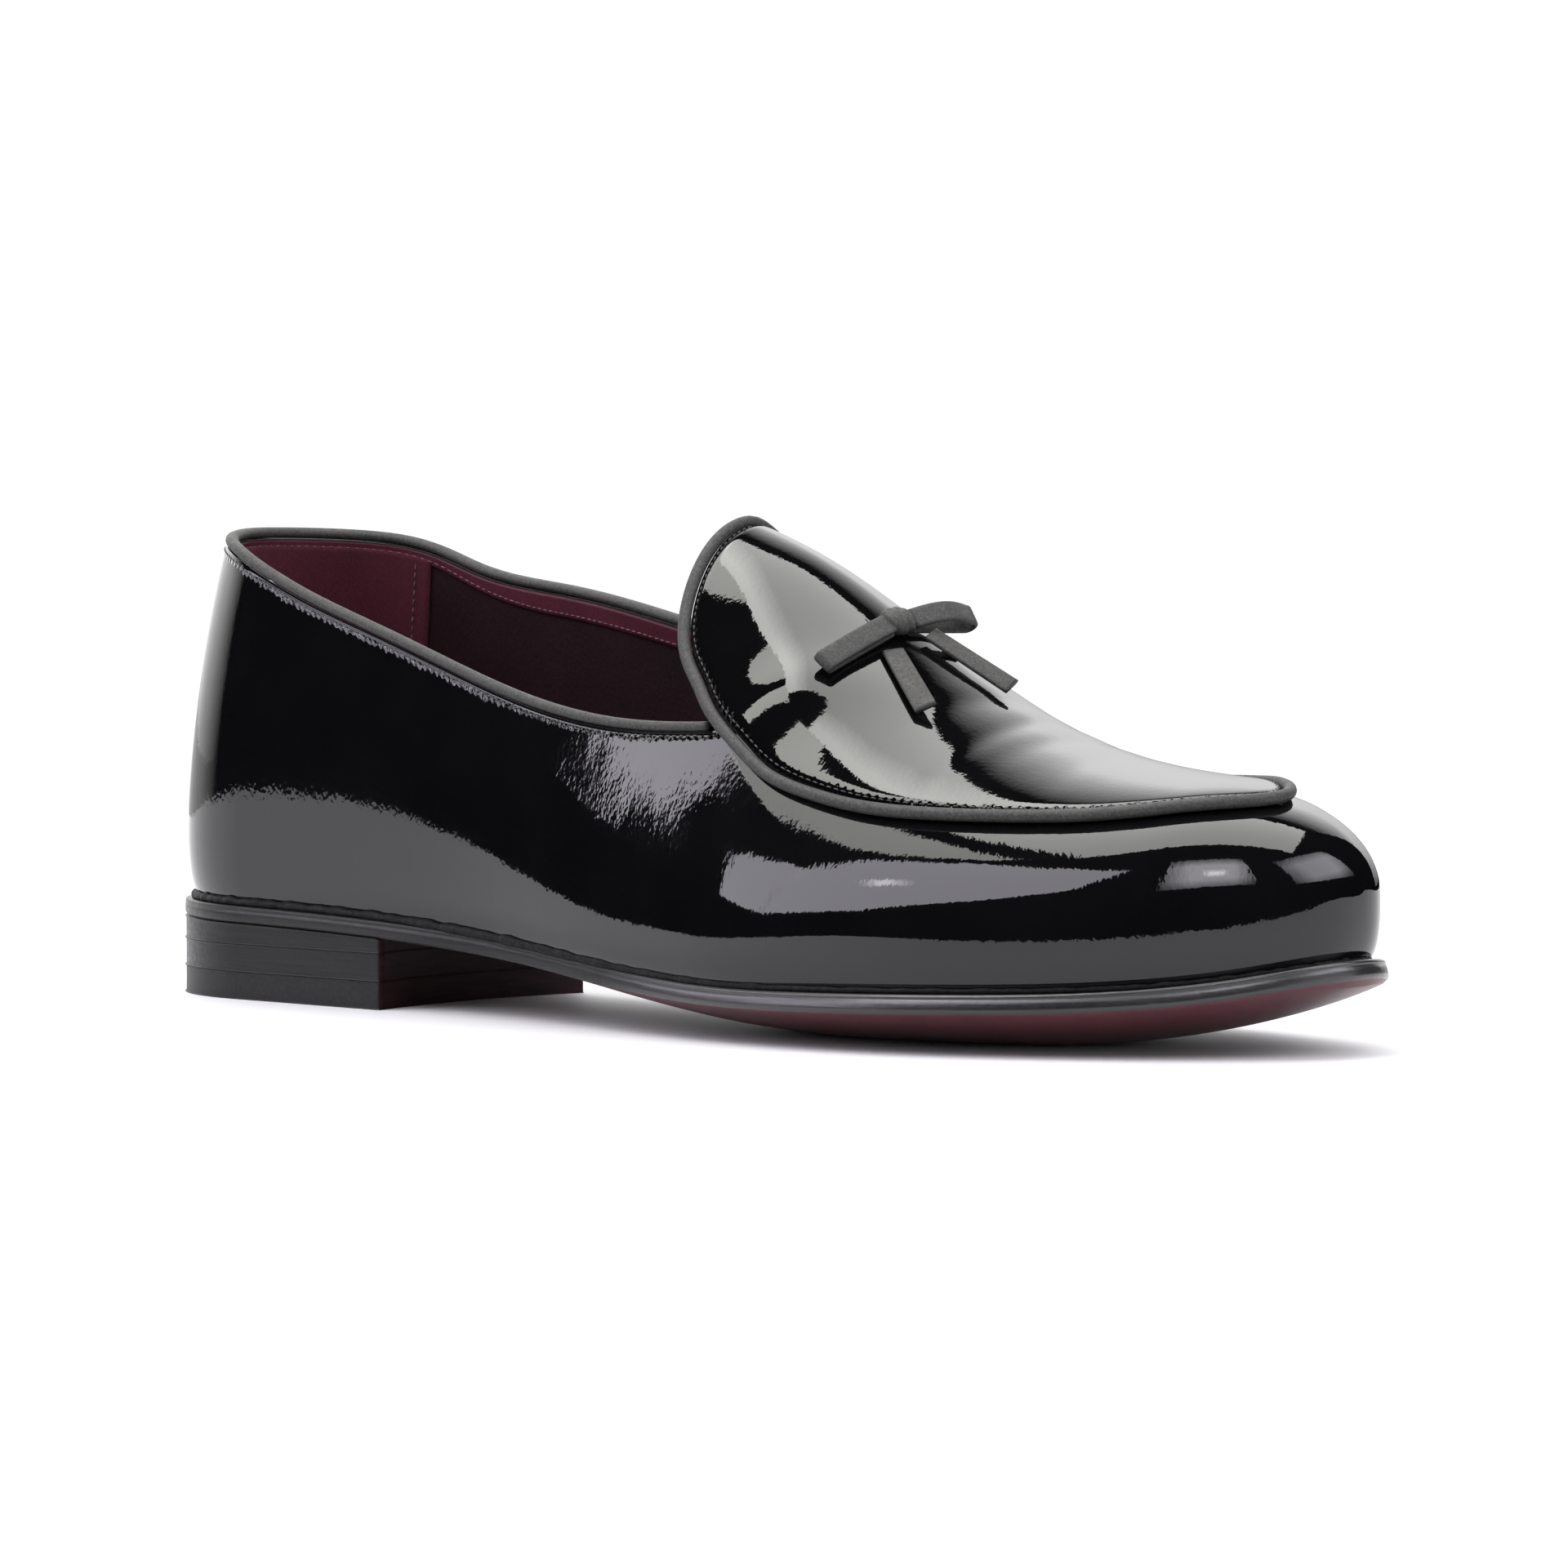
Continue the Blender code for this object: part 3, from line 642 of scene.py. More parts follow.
# Materials with one grain: its noise as scale, detail, roughness and stretch, the dark and the light tone,
# the roughness, the bump's strength and millimetres, the specular level and the range of the tones
GRAIN_ROWS = {
    "trim_charcoal": ((2000.0, 3.0, 0.6), (0.014, 0.014, 0.0135), (0.04, 0.039, 0.0365),
                      0.55, (0.85, 0.11), 0.3, (0.32, 0.68)),
    "lining_suede": ((1600.0, 3.0, 0.6), (0.024, 0.003, 0.0075), (0.056, 0.007, 0.0165),
                     0.9, (0.6, 0.16), 0.2, SPAN),
    "lining_hide": ((1100.0, 3.0, 0.6), (0.005, 0.0012, 0.002), (0.013, 0.0024, 0.0042),
                    0.6, (0.6, 0.12), 0.2, SPAN),
    "lining_facing": ((1300.0, 3.0, 0.6), (0.035, 0.006, 0.012), (0.06, 0.01, 0.02),
                      0.5, (0.6, 0.08), 0.2, SPAN),
    "thread_black": ((2600.0, 1.0), (0.012, 0.012, 0.013), (0.045, 0.044, 0.046),
                     0.6, (0.5, 0.05), 0.5, SPAN),
    "thread_burgundy": ((2600.0, 1.0), (0.04, 0.014, 0.02), (0.13, 0.06, 0.075),
                        0.6, (0.5, 0.05), 0.5, SPAN),
    # The rand bead's near-black tone is painted shade of the groove between upper and sole
    "rand_painted_shade": ((700.0, 4.0, 0.7), (0.002, 0.002, 0.0022), (0.008, 0.0077, 0.008),
                 0.5, (0.9, 0.25), 0.1, SPAN),
    "top_piece_rubber": ((1300.0, 2.0), (0.004, 0.0037, 0.004), (0.01, 0.0093, 0.0095),
                         0.45, (0.4, 0.06), 0.25, SPAN),
    # The heel breast's near-black red is painted shade of the hollow under the arch
    "breast_painted_shade": ((320.0, 4.0, 0.6, (1, 0.3, 4.0)), (0.006, 0.0012, 0.002), (0.02, 0.0032, 0.006),
                    0.6, (0.5, 0.08), 0.15, SPAN),
}
# Uneven roughness of two of them: noise, and roughness at the low and high end of its middle range
UNEVEN_ROWS = {
    "trim_charcoal": ((700.0, 2.0), 0.5, 0.66),
    "rand_painted_shade": ((700.0, 4.0, 0.7), 0.6, 0.35),
}
CLOUD_NOISE, CLOUD_SHARE = (70.0, 3.0), 0.4
SUEDE_SHEEN, SUEDE_SHEEN_TINT = 0.2, (0.6, 0.2, 0.3, 1)
# Two scales of the patent film's ripple, with the noise settings that they share
FILM_SWELL, FILM_PEEL = 110.0, 1100.0
FILM_NOISE = (1.5, 0.5, (1, 1, 0.6))


def tones(tree, value, dark, light, span=SPAN):
    """Colour from dark to light over a range of a noise."""
    return tint(tree, ramp(tree, value, *span, 0.0, 1.0), dark, light)


def grained_material(name, clouded=False):
    """Material of the grain table; broad clouds may share in its tone."""
    grain, dark, light, roughness, relief, specular, span = GRAIN_ROWS[name]
    material, tree, shader = new_material(name, light, roughness)
    value = noise(tree, *grain)
    shade = value
    if clouded:
        cloud = combine(tree, "MULTIPLY", noise(tree, *CLOUD_NOISE), CLOUD_SHARE)
        shade = combine(tree, "ADD", combine(tree, "MULTIPLY", value, 1 - CLOUD_SHARE), cloud)
    fill(tree, shader, Base_Color=tones(tree, shade, dark, light, span), Normal=bump(tree, value, *relief))
    fill(tree, shader, Specular_IOR_Level=specular)
    if name in UNEVEN_ROWS:
        wear, start, end = UNEVEN_ROWS[name]
        fill(tree, shader, Roughness=ramp(tree, noise(tree, *wear), *SPAN, start, end))
    if name == "lining_suede":
        fill(tree, shader, Sheen_Weight=SUEDE_SHEEN, Sheen_Tint=SUEDE_SHEEN_TINT)
    return material


def patent_material():
    """Black leather under a clear film: mirror gloss, a faint ripple and puckers along sewn edges."""
    material, tree, shader = new_material("patent_black", (0.002, 0.002, 0.0023), 0.03)
    tone = tint(tree, noise(tree, 60.0, 3.0), (0.0013, 0.0013, 0.0016), (0.0027, 0.0026, 0.0029))
    gloss = ramp(tree, noise(tree, 90.0, 4.0), *SPAN, 0.018, 0.045)
    swell = bump(tree, noise(tree, FILM_SWELL, *FILM_NOISE), 0.5, 0.09)
    peel = bump(tree, noise(tree, FILM_PEEL, *FILM_NOISE), 1.0, 0.011, swell)
    turn = combine(tree, "MULTIPLY", mark(tree, "edge_run"), 2 * math.pi / PUCKER_PITCH)
    wave = combine(tree, "MULTIPLY", combine(tree, "SINE", turn, 0.0), PUCKER_WAVE)
    stray = ramp(tree, noise(tree, 420.0, 2.0), *SPAN, -PUCKER_STRAY, PUCKER_STRAY)
    gap = combine(tree, "ADD", mark(tree, "edge_gap"), combine(tree, "ADD", wave, stray))
    pucker = bump(tree, ramp(tree, gap, *PUCKER_GAP, 0.0, 1.0), 1.0, PUCKER_DEPTH, peel)
    fill(tree, shader, Base_Color=tone, Roughness=gloss, Normal=pucker)
    return material


def edge_material():
    """Black waxed edge of stacked leather: fine lines along it, polished where the mesh marks it."""
    material, tree, shader = new_material("edge_black", (0.006, 0.0055, 0.006), 0.36)
    lines = noise(tree, 260.0, 4.0, 0.6, (0.2, 0.2, 7.0))
    grit = noise(tree, 1100.0, 2.0)
    tone = tones(tree, lines, (0.004, 0.0038, 0.004), (0.009, 0.0085, 0.009), (0.35, 0.7))
    grain = bump(tree, grit, 0.5, 0.06, bump(tree, lines, 0.4, 0.08))
    fill(tree, shader, Base_Color=tone, Roughness=ramp(tree, grit, *SPAN, 0.3, 0.44), Normal=grain)
    fill(tree, shader, Coat_Normal=grain, Coat_Weight=mark(tree, "polish"), Coat_Roughness=0.27)
    fill(tree, shader, Specular_IOR_Level=0.25)
    return material


def underside_material():
    """Burgundy dyed sole leather with a faint mottle."""
    material, tree, shader = new_material("sole_burgundy", (0.065, 0.009, 0.016), 0.34)
    tone = tones(tree, noise(tree, 45.0, 4.0, 0.6), (0.05, 0.006, 0.011), (0.085, 0.013, 0.021))
    fill(tree, shader, Base_Color=tone, Normal=bump(tree, noise(tree, 1100.0, 3.0), 0.35, 0.05))
    return material


# The upper
def build_upper(patent, lining):
    outer = upper_grid(np.arange(UPPER_STATIONS) / UPPER_STATIONS)
    normals = grid_normals(outer, True)
    inner = outer - SHELL * normals
    wall = np.concatenate([outer, inner[:, ::-1]], 1)
    wall[:, [0, -1], 2] = feather_z(wall[:, [0, -1], 0])
    steps = np.linalg.norm(np.diff(outer, axis=1), axis=-1)
    below = np.concatenate([np.cumsum(steps[:, ::-1], 1)[:, ::-1], np.zeros((UPPER_STATIONS, 1))], 1)
    run = np.tile(lengths(outer[:, -1])[:, None], wall.shape[1])
    marks = {"edge_gap": np.concatenate([below, below[:, ::-1]], 1), "edge_run": run}
    add_grid("upper_patent", wall, [patent], ("upper",), None, marks)
    skin = outer - (SHELL + LINING_GAP) * normals
    hide = outer - WALL * normals
    layer = np.concatenate([skin, hide[:, ::-1]], 1)[:, LINING_START:-LINING_START]
    add_grid("upper_lining", layer, [lining], ("upper",))


def build_counter(suede, thread):
    """Suede pad inside the heel, sewn on along its two front edges."""
    reach = share_at(COUNTER_FRONT)
    outer = upper_grid(np.linspace(-reach, reach, COUNTER_STATIONS) % 1)[:, COUNTER_START:-1]
    normals = grid_normals(outer, False)
    near, far = (outer - (WALL + depth) * normals for depth in COUNTER_DEPTHS)
    add_sheet("counter_suede", far, near, suede)
    seam = slice(COUNTER_SEAM_START, None)
    for side, row in COUNTER_SEAMS:
        path = outer[row] - (WALL + COUNTER_SEAM_DEPTH) * normals[row]
        name = "counter_stitches_" + side
        add_stitches(name, path[seam], -normals[row][seam], COUNTER_STITCH, thread)


def build_back_strap(leather):
    """Narrow leather tape over the seam at the heel back, from the collar down to a point."""
    share = np.linspace(-1, 1, 9)
    rows = []
    for part in np.linspace(0, 1, 30):
        taper = np.sqrt(max(1 - part**STRAP_POWER, STRAP_TIP))
        across = (share * STRAP_SHARE * taper) % 1
        rows.append(side_wall(across, rim_turn(across) * (1 - part * STRAP_DROP)))
    outer = np.stack(rows, 0)
    normals = unit(np.cross(np.gradient(outer, axis=1), np.gradient(outer, axis=0)))
    normals *= -np.sign(normals[..., :1])
    crown = STRAP_EDGE + STRAP_CROWN * np.sqrt(np.maximum(1 - share**2, 0))
    front = outer + normals * crown[None, :, None]
    add_sheet("back_strap", front, outer - STRAP_SUNK * normals, leather)


def collar_line(drop, out):
    """Path along the collar, a drop below the rim, with outward normals of the wall."""
    ends = -share_at(COLLAR_END_MEDIAL), share_at(COLLAR_END_LATERAL)
    share = np.linspace(*ends, COLLAR_STATIONS) % 1
    turn = rim_turn(share)
    rim = side_wall(share, turn)
    upward = unit(rim - side_wall(share, turn - 0.01))
    outward = unit(np.cross(tangents(rim, False), upward))
    return rim - upward * drop + outward * out, upward, outward


def build_collar(trim, thread, facing, facing_thread):
    rim, upward, outward = collar_line(0.0, 0.0)
    centres = rim - outward * WALL / 2 + upward * (COLLAR_PIPE_HIGH + PIPE_GAP)
    sections = oval_sections(centres, outward, upward, COLLAR_PIPE_WIDE, COLLAR_PIPE_HIGH, PIPE_CORNERS)
    add_sweep("collar_piping_leather", sections, trim, ("collar_piping",))
    path, _, outward = collar_line(SEAM_DROP, 0.0)
    add_stitches("collar_stitches", path, outward, COLLAR_STITCH, thread)
    tall = FACING_LOW + (FACING_TALL - FACING_LOW) * smoothstep(*FACING_SPAN, rim[:, :1])
    drops = [FACING_START + (tall - FACING_START) * part for part in np.linspace(0, 1, 8)]
    near, far = (np.stack([collar_line(drop, -WALL - depth)[0] for drop in drops], 1)
                 for depth in FACING_DEPTHS)
    add_sheet("collar_facing", far, near, facing)
    path, _, outward = collar_line(tall - SEAM_DROP, -WALL - FACING_SEAM_DEPTH)
    add_stitches("facing_stitches", path, -outward, FACING_STITCH, facing_thread)


# The apron
def crease_depth(x, y):
    depth = np.zeros_like(x)
    for at_x, at_y, slant, width, reach, deep in CREASE_ROWS:
        across = (x - at_x - slant * (y - at_y)) / width
        along = (y - at_y) / reach
        depth += deep * np.exp(-across**2) * np.exp(-along**2)
    return depth


def apron_lift(x, y, from_edge):
    """Lift of the apron's top over the last: creased, and rolled down along its edge."""
    roll = ROLL_DEPTH * np.exp(-(from_edge / ROLL_REACH) ** 2)
    return OVERLAY_GAP + APRON_THICK - roll - crease_depth(x, y)


def build_apron(patent, lining, trim, thread):
    ring = outline_ring(apron_half, APRON["mid"], APRON_START, APRON_END, APRON_STATIONS)
    spine = spine_of(ring, APRON["mid"], APRON_SPINE)
    reach = np.concatenate([np.linspace(0, 0.9, 30), [0.93, 0.955, 0.975, 0.99, 1.0]])
    plan = spine[:, None] + (ring - spine)[:, None] * reach[None, :, None]
    x, y = plan[..., 0], plan[..., 1]
    from_edge = np.linalg.norm(plan - ring[:, None], axis=-1)
    top, _ = on_last(x, y, apron_lift(x, y, from_edge))
    low, _ = on_last(x, y, np.full(x.shape, OVERLAY_GAP))
    grid = np.concatenate([top, low[:, ::-1]], 1)
    slots = np.tile(np.arange(grid.shape[1] - 1) >= len(reach), len(ring))
    run = np.tile(lengths(np.concatenate([ring, ring[:1]]))[:-1, None], grid.shape[1])
    gap = np.concatenate([from_edge, from_edge[:, ::-1]], 1) + APRON_PUCKER_SHIFT
    marks = {"edge_gap": gap, "edge_run": run}
    add_grid("apron_patent", grid, [patent, lining], ("apron_tongue",), slots, marks, False)
    base, normal = on_last(ring[:, 0], ring[:, 1], np.zeros(len(ring)))
    outward = unit(np.cross(tangents(base, True), normal))
    centres = base + normal * (OVERLAY_GAP + APRON_PIPE) + outward * (APRON_PIPE + PIPE_GAP)
    sections = oval_sections(centres, outward, normal, APRON_PIPE, APRON_PIPE, PIPE_CORNERS)
    add_grid("apron_piping_leather", sections, [trim], ("apron_piping",))
    x, y = (ring - plan_outward(ring) * APRON_SEAM_INSET).T
    path, normal = on_last(x, y, apron_lift(x, y, APRON_SEAM_INSET))
    add_stitches("apron_stitches", path, normal, APRON_STITCH, thread)


# The sole, heel and insole
def sole_bottom(x, share):
    """Underside of the outsole; share runs from -1 on the lateral edge to 1 on the medial edge."""
    edge = SOLE["edge_z"](x)
    hang = np.maximum(CROWN(x), 0) * (1 - np.minimum(np.abs(share), 1) ** CROWN_POWER)
    return np.maximum(edge - hang, 0)


# Steps of the sole's side, from its top down: how far in, and share of the edge's height
EDGE_PROFILE = ((0.45, 1.0), (0.12, 0.97), (0.0, 0.88), (0.0, 0.8), (0.16, 0.765), (0.16, 0.735), (0.0, 0.70),
                (0.0, 0.5), (0.0, 0.3), (0.08, 0.2), (0.35, 0.07), (0.7, 0.0))
SLANT_SPAN = (0.07, 0.97)
# How far the top of the sole's side leans in, along the shoe
SLANT_ROWS = ((-0.5, 0.1), (60, 0.1), (110, 0.2), (150, 0.4), (175, 0.9), (200, 1.05), (301.8, 1.05))
EDGE_SLANT = spline(*zip(*SLANT_ROWS))
# Polish of the sole's edge along the shoe
POLISH_ROWS = ((-0.5, 0.1), (60, 0.1), (100, 0.0), (150, 0.0), (172, 0.9), (200, 1.0), (301.8, 1.0))
POLISH = spline(*zip(*POLISH_ROWS))
# Half height of the bead along the shoe, how far in it runs, its shape, and its lumps as waves and phase
RAND_ROWS = ((0, 1.15), (60, 1.15), (120, 1.1), (170, 0.95), (230, 0.8), (300, 0.8))
RAND_SIZE = spline(*zip(*RAND_ROWS))
RAND_INSET = 2.3
RAND_BROAD, RAND_RISE, LUMP_SHARE = 1.25, 0.35, 0.07
LUMP_ROWS = ((61, 0), (97, 1), (143, 2))
# Steps of the insole, from the middle of its underside round to the middle of its top: reach and height
INSOLE_PROFILE = ((0, 0), (0.6, 0), (1, 0), (1, 0.7), (0.985, 0.95), (0.96, 1), (0.8, 0.97), (0.55, 0.93),
                  (0.25, 0.91), (0, 0.9))
INSOLE_GAP = 0.8
# Groove at the top and bottom of each lift: how far in, and how far from the joint
LIFT_PROFILE = ((0.3, 0.0), (0.02, 0.17), (0.0, 0.25), (0.0, 0.4))
HEEL_MIDDLE = (40.0, -1.0)


def build_outsole(edge, underside):
    ring = outline_ring(sole_half, SOLE["mid"], SOLE_START, SOLE_END, SOLE_STATIONS)
    spine = spine_of(ring, SOLE["mid"], SOLE_SPINE)
    outward = plan_outward(ring)
    columns = []
    for part in SOLE_TOP_STEPS:
        plan = spine + (ring - spine) * part
        columns.append(np.column_stack([plan, SOLE["edge_z"](plan[:, 0]) + EDGE]))
    edge_z = SOLE["edge_z"](ring[:, 0])
    slant = EDGE_SLANT(ring[:, 0])
    for inset, height in EDGE_PROFILE:
        inward = inset + slant * np.clip(height, *SLANT_SPAN)
        columns.append(np.column_stack([ring - outward * inward[:, None], edge_z + EDGE * height]))
    last_edge = len(columns) - 1
    rim = ring - outward * EDGE_BEVEL
    for part in np.concatenate([[0.985, 0.96], np.linspace(0.92, 0, 24)]):
        plan = spine + (rim - spine) * part
        x = plan[:, 0]
        width = np.maximum(sole_half(x) - EDGE_BEVEL, 1e-3)
        columns.append(np.column_stack([plan, sole_bottom(x, (plan[:, 1] - SOLE["mid"](x)) / width)]))
    grid = np.stack(columns, 1)
    slots = np.tile(np.arange(grid.shape[1] - 1) >= last_edge, len(ring))
    marks = {"polish": np.tile(np.clip(POLISH(ring[:, 0]), 0, 1)[:, None], grid.shape[1])}
    add_grid("outsole_leather", grid, [edge, underside], ("outsole",), slots, marks, False)


def build_rand(bead_shade):
    """Lumpy bead that fills the groove between upper and sole; its near-black tone is painted shade of the
    groove.
    """
    share = np.arange(RAND_STATIONS) / RAND_STATIONS
    ring = np.stack(inset_outline(share, RAND_INSET), -1)
    lump = sum(np.sin(2 * np.pi * waves * share + phase) for waves, phase in LUMP_ROWS)
    size = RAND_SIZE(ring[:, 0]) * (1 + LUMP_SHARE * lump)
    centres = np.column_stack([ring, feather_z(ring[:, 0]) + RAND_RISE * size])
    outward = np.column_stack([plan_outward(ring), np.zeros(len(ring))])
    upward = np.tile((0.0, 0.0, 1.0), (len(ring), 1))
    sections = oval_sections(centres, outward, upward, RAND_BROAD * size, size, RAND_CORNERS)
    add_grid("rand_bead", sections, [bead_shade])


def heel_outline():
    """Plan of the heel block: round the back between the breast corners, then along the hollow breast."""
    x = swept(np.linspace(0, 1, 400), SOLE_START + HEEL_INSET, SOLE_END)
    x = np.append(x[x < HEEL_BREAST - 0.5], HEEL_BREAST)
    half = np.maximum(sole_half(x) - HEEL_INSET, 0)
    half[0] = 0
    lateral = np.stack([x, SOLE["mid"](x) - half], -1)[::-1]
    medial = np.stack([x, SOLE["mid"](x) + half], -1)[1:]
    across = np.linspace(1, -1, 25)[1:-1]
    hollow = HEEL_BREAST - BREAST_HOLLOW * (1 - across**2)
    breast = np.stack([hollow, SOLE["mid"](HEEL_BREAST) + half[-1] * across], -1)
    return np.concatenate([lateral, medial, breast]), len(lateral) + len(medial)


def build_heel(edge, rubber, breast):
    plan, round_count = heel_outline()
    count = len(plan)
    seat = SOLE["edge_z"](plan[:, 0]) - LAYER_GAP
    flat = np.zeros(count)
    layers = (
        ("heel_lift_upper", flat + LOWER_LIFT_Z + LAYER_GAP, seat, edge, "heel_leather"),
        ("heel_lift_lower", flat + TOP_PIECE_Z + LAYER_GAP, flat + LOWER_LIFT_Z, edge, "heel_leather"),
        ("heel_top_piece", flat, flat + TOP_PIECE_Z, rubber, "heel_rubber"),
    )
    outward = plan_outward(plan)
    middle = np.tile(HEEL_MIDDLE, (count, 1))
    for node, low, high, look, slot in layers:
        steps = [(inset, low + height) for inset, height in LIFT_PROFILE]
        steps += [(inset, high - height) for inset, height in LIFT_PROFILE[::-1]]
        columns = [np.column_stack([plan - outward * inset, z]) for inset, z in steps]
        columns = [np.column_stack([middle, low]), *columns, np.column_stack([middle, high])]
        grid = np.stack(columns, 1)
        grid[:, [0, -1], 2] = grid[:, [1, -2], 2].mean(0)
        slots = np.zeros((count, grid.shape[1] - 1), int)
        # The breast face takes the material whose near-black tone is painted shade
        slots[round_count - 1:, 1:-1] = 1
        add_grid(node + "_stack", grid, [look, breast], (node,), slots, None, False)


def build_insole(sock):
    share = np.arange(INSOLE_STATIONS) / INSOLE_STATIONS
    ring = np.stack(inset_outline(share, TUCK + WALL + INSOLE_GAP), -1)
    spine = spine_of(ring, SOLE["mid"], SOLE_SPINE)
    columns = []
    for part, height in INSOLE_PROFILE:
        plan = spine + (ring - spine) * part
        columns.append(np.column_stack([plan, feather_z(plan[:, 0]) + INSOLE_THICK * height]))
    add_grid("insole_sock", np.stack(columns, 1), [sock], ("insole",), close_levels=False)


# The bow
def ribbon_sections(path, across):
    """Flat ribbon along a path with turned, rounded edges."""
    along = tangents(path, False)
    across = unit(across - along * (across * along).sum(-1, keepdims=True))
    upward = np.cross(along, across)
    angle = (np.arange(RIBBON_CORNERS) + 0.5) * 2 * np.pi / RIBBON_CORNERS
    wide = np.sign(np.cos(angle)) * np.abs(np.cos(angle)) ** RIBBON_POWERS[0] * RIBBON_WIDE / 2
    high = np.sign(np.sin(angle)) * np.abs(np.sin(angle)) ** RIBBON_POWERS[1] * RIBBON_THICK / 2
    return path[:, None] + across[:, None] * wide[None, :, None] + upward[:, None] * high[None, :, None]


def on_apron(plan, lift):
    """Points over the apron's top face, with the normals there."""
    return on_last(plan[:, 0], plan[:, 1], OVERLAY_GAP + APRON_THICK + np.asarray(lift))


def stiff_line(start, end, lifts):
    """Both ends and normals of a straight line over the apron, with its direction and length."""
    ends, normals = on_apron(np.array([start, end]), np.array(lifts))
    ahead = ends[1] - ends[0]
    length = np.linalg.norm(ahead)
    return ends, normals, ahead / length, length


def turned_normals(normals, ahead, share, twist):
    """Normals square to a straight line that turn about it by a twist in degrees."""
    share = share[:, None]
    between = normals[0] * (1 - share) + normals[1] * share
    between = unit(between - np.outer(between @ ahead, ahead))
    angle = np.radians(twist) * (TWIST_START + (1 - TWIST_START) * share)
    return between * np.cos(angle) + np.cross(ahead, between) * np.sin(angle)


def loop_path(end, lifts, end_radius, arch, twist):
    """Points and width directions of one loop, from the knot out, round its end and back over itself."""
    ends, normals, ahead, length = stiff_line(KNOT_AT, end, lifts)
    start = KNOT_LONG / 2 + KNOT_GAP
    straight = length - end_radius
    turn = np.linspace(-np.pi / 2, np.pi / 2, 17)[1:-1]
    part = np.linspace(0, 1, 20)
    distance = np.concatenate([start + (straight - start) * part, straight + end_radius * np.cos(turn),
                               straight + (start - straight) * part])
    open_share = np.sin(np.pi / 2 * (1 - part))
    back = MOUTH + (2 * end_radius - MOUTH) * open_share + arch * np.sin(np.pi * part)
    rise = np.concatenate([np.zeros(len(part)), end_radius * (1 + np.sin(turn)), back])
    upward = turned_normals(normals, ahead, distance / length, twist)
    return ends[0] + np.outer(distance, ahead) + upward * rise[:, None], np.cross(upward, ahead)


def tail_path(start, end, lifts, twist):
    """Points and width directions of one tail."""
    ends, normals, ahead, length = stiff_line(start, end, lifts)
    share = np.linspace(0, 1, 24)
    path = ends[0] + np.outer(share * length, ahead)
    return path, np.cross(turned_normals(normals, ahead, share, twist), ahead)


def build_knot(trim):
    """Short barrel round the middle of the bow, drawn in by slanting folds."""
    axis = unit(np.array(LOOP_ROWS[1][1]) - np.array(LOOP_ROWS[0][1]))
    place = np.linspace(-0.5, 0.5, KNOT_STATIONS)
    middle = KNOT_STATIONS // 2
    plan = np.array(KNOT_AT) + np.outer(place * KNOT_LONG, axis)
    centres, normals = on_apron(plan, np.full(KNOT_STATIONS, KNOT_HIGH / 2 + KNOT_LIFT))
    along = tangents(centres, False)[middle]
    centres = centres[middle] + np.outer(place * KNOT_LONG, along)
    across = np.cross(normals[middle], along)
    axes = [np.tile(side, (KNOT_STATIONS, 1)) for side in (across, normals[middle])]
    swell = np.sqrt(np.maximum(1 - (2 * place) ** 6, 0.45))
    origin = np.zeros((KNOT_STATIONS, 3))
    sections = oval_sections(origin, *axes, KNOT_WIDE / 2 * swell, KNOT_HIGH / 2 * swell, KNOT_CORNERS)
    angle = (np.arange(KNOT_CORNERS) + 0.5) * 2 * np.pi / KNOT_CORNERS
    fold = np.zeros((KNOT_STATIONS, KNOT_CORNERS))
    for at, slant, deep in KNOT_FOLDS:
        fold += deep * np.exp(-((2 * place[:, None] - at - slant * np.cos(angle)) / FOLD_WIDE) ** 2)
    sections = centres[:, None] + sections * (1 - fold[..., None])
    add_sweep("bow_knot_wrap", sections, trim, ("bow_knot",))


def build_bow(trim):
    build_knot(trim)
    paths = [(name, loop_path(*shape)) for name, *shape in LOOP_ROWS]
    paths += [(name, tail_path(*shape)) for name, *shape in TAIL_ROWS]
    for name, (path, across) in paths:
        add_sweep(name + "_ribbon", ribbon_sections(path, across), trim, (name,))


# Studio: panels in millimetres right of, behind and above the shoe's middle, as the camera sees it.
# The far factor takes them all away from the shoe, so that a reflection hardly depends on its place there.
# A fade is a side and the shares of it where the light starts to fall and ends.
STUDIO_AT = (165.0, 0.0, 45.0)
STUDIO_TURN = 40.0
SOFT_EDGES = (("X", 0.3, -0.05), ("X", 0.7, 1.05), ("Y", 0.3, -0.1), ("Y", 0.75, 1.05))
HOT_MIDDLE = (("X", 0.4, 0.0), ("X", 0.6, 1.0), ("Y", 0.4, 0.0), ("Y", 0.6, 1.0))
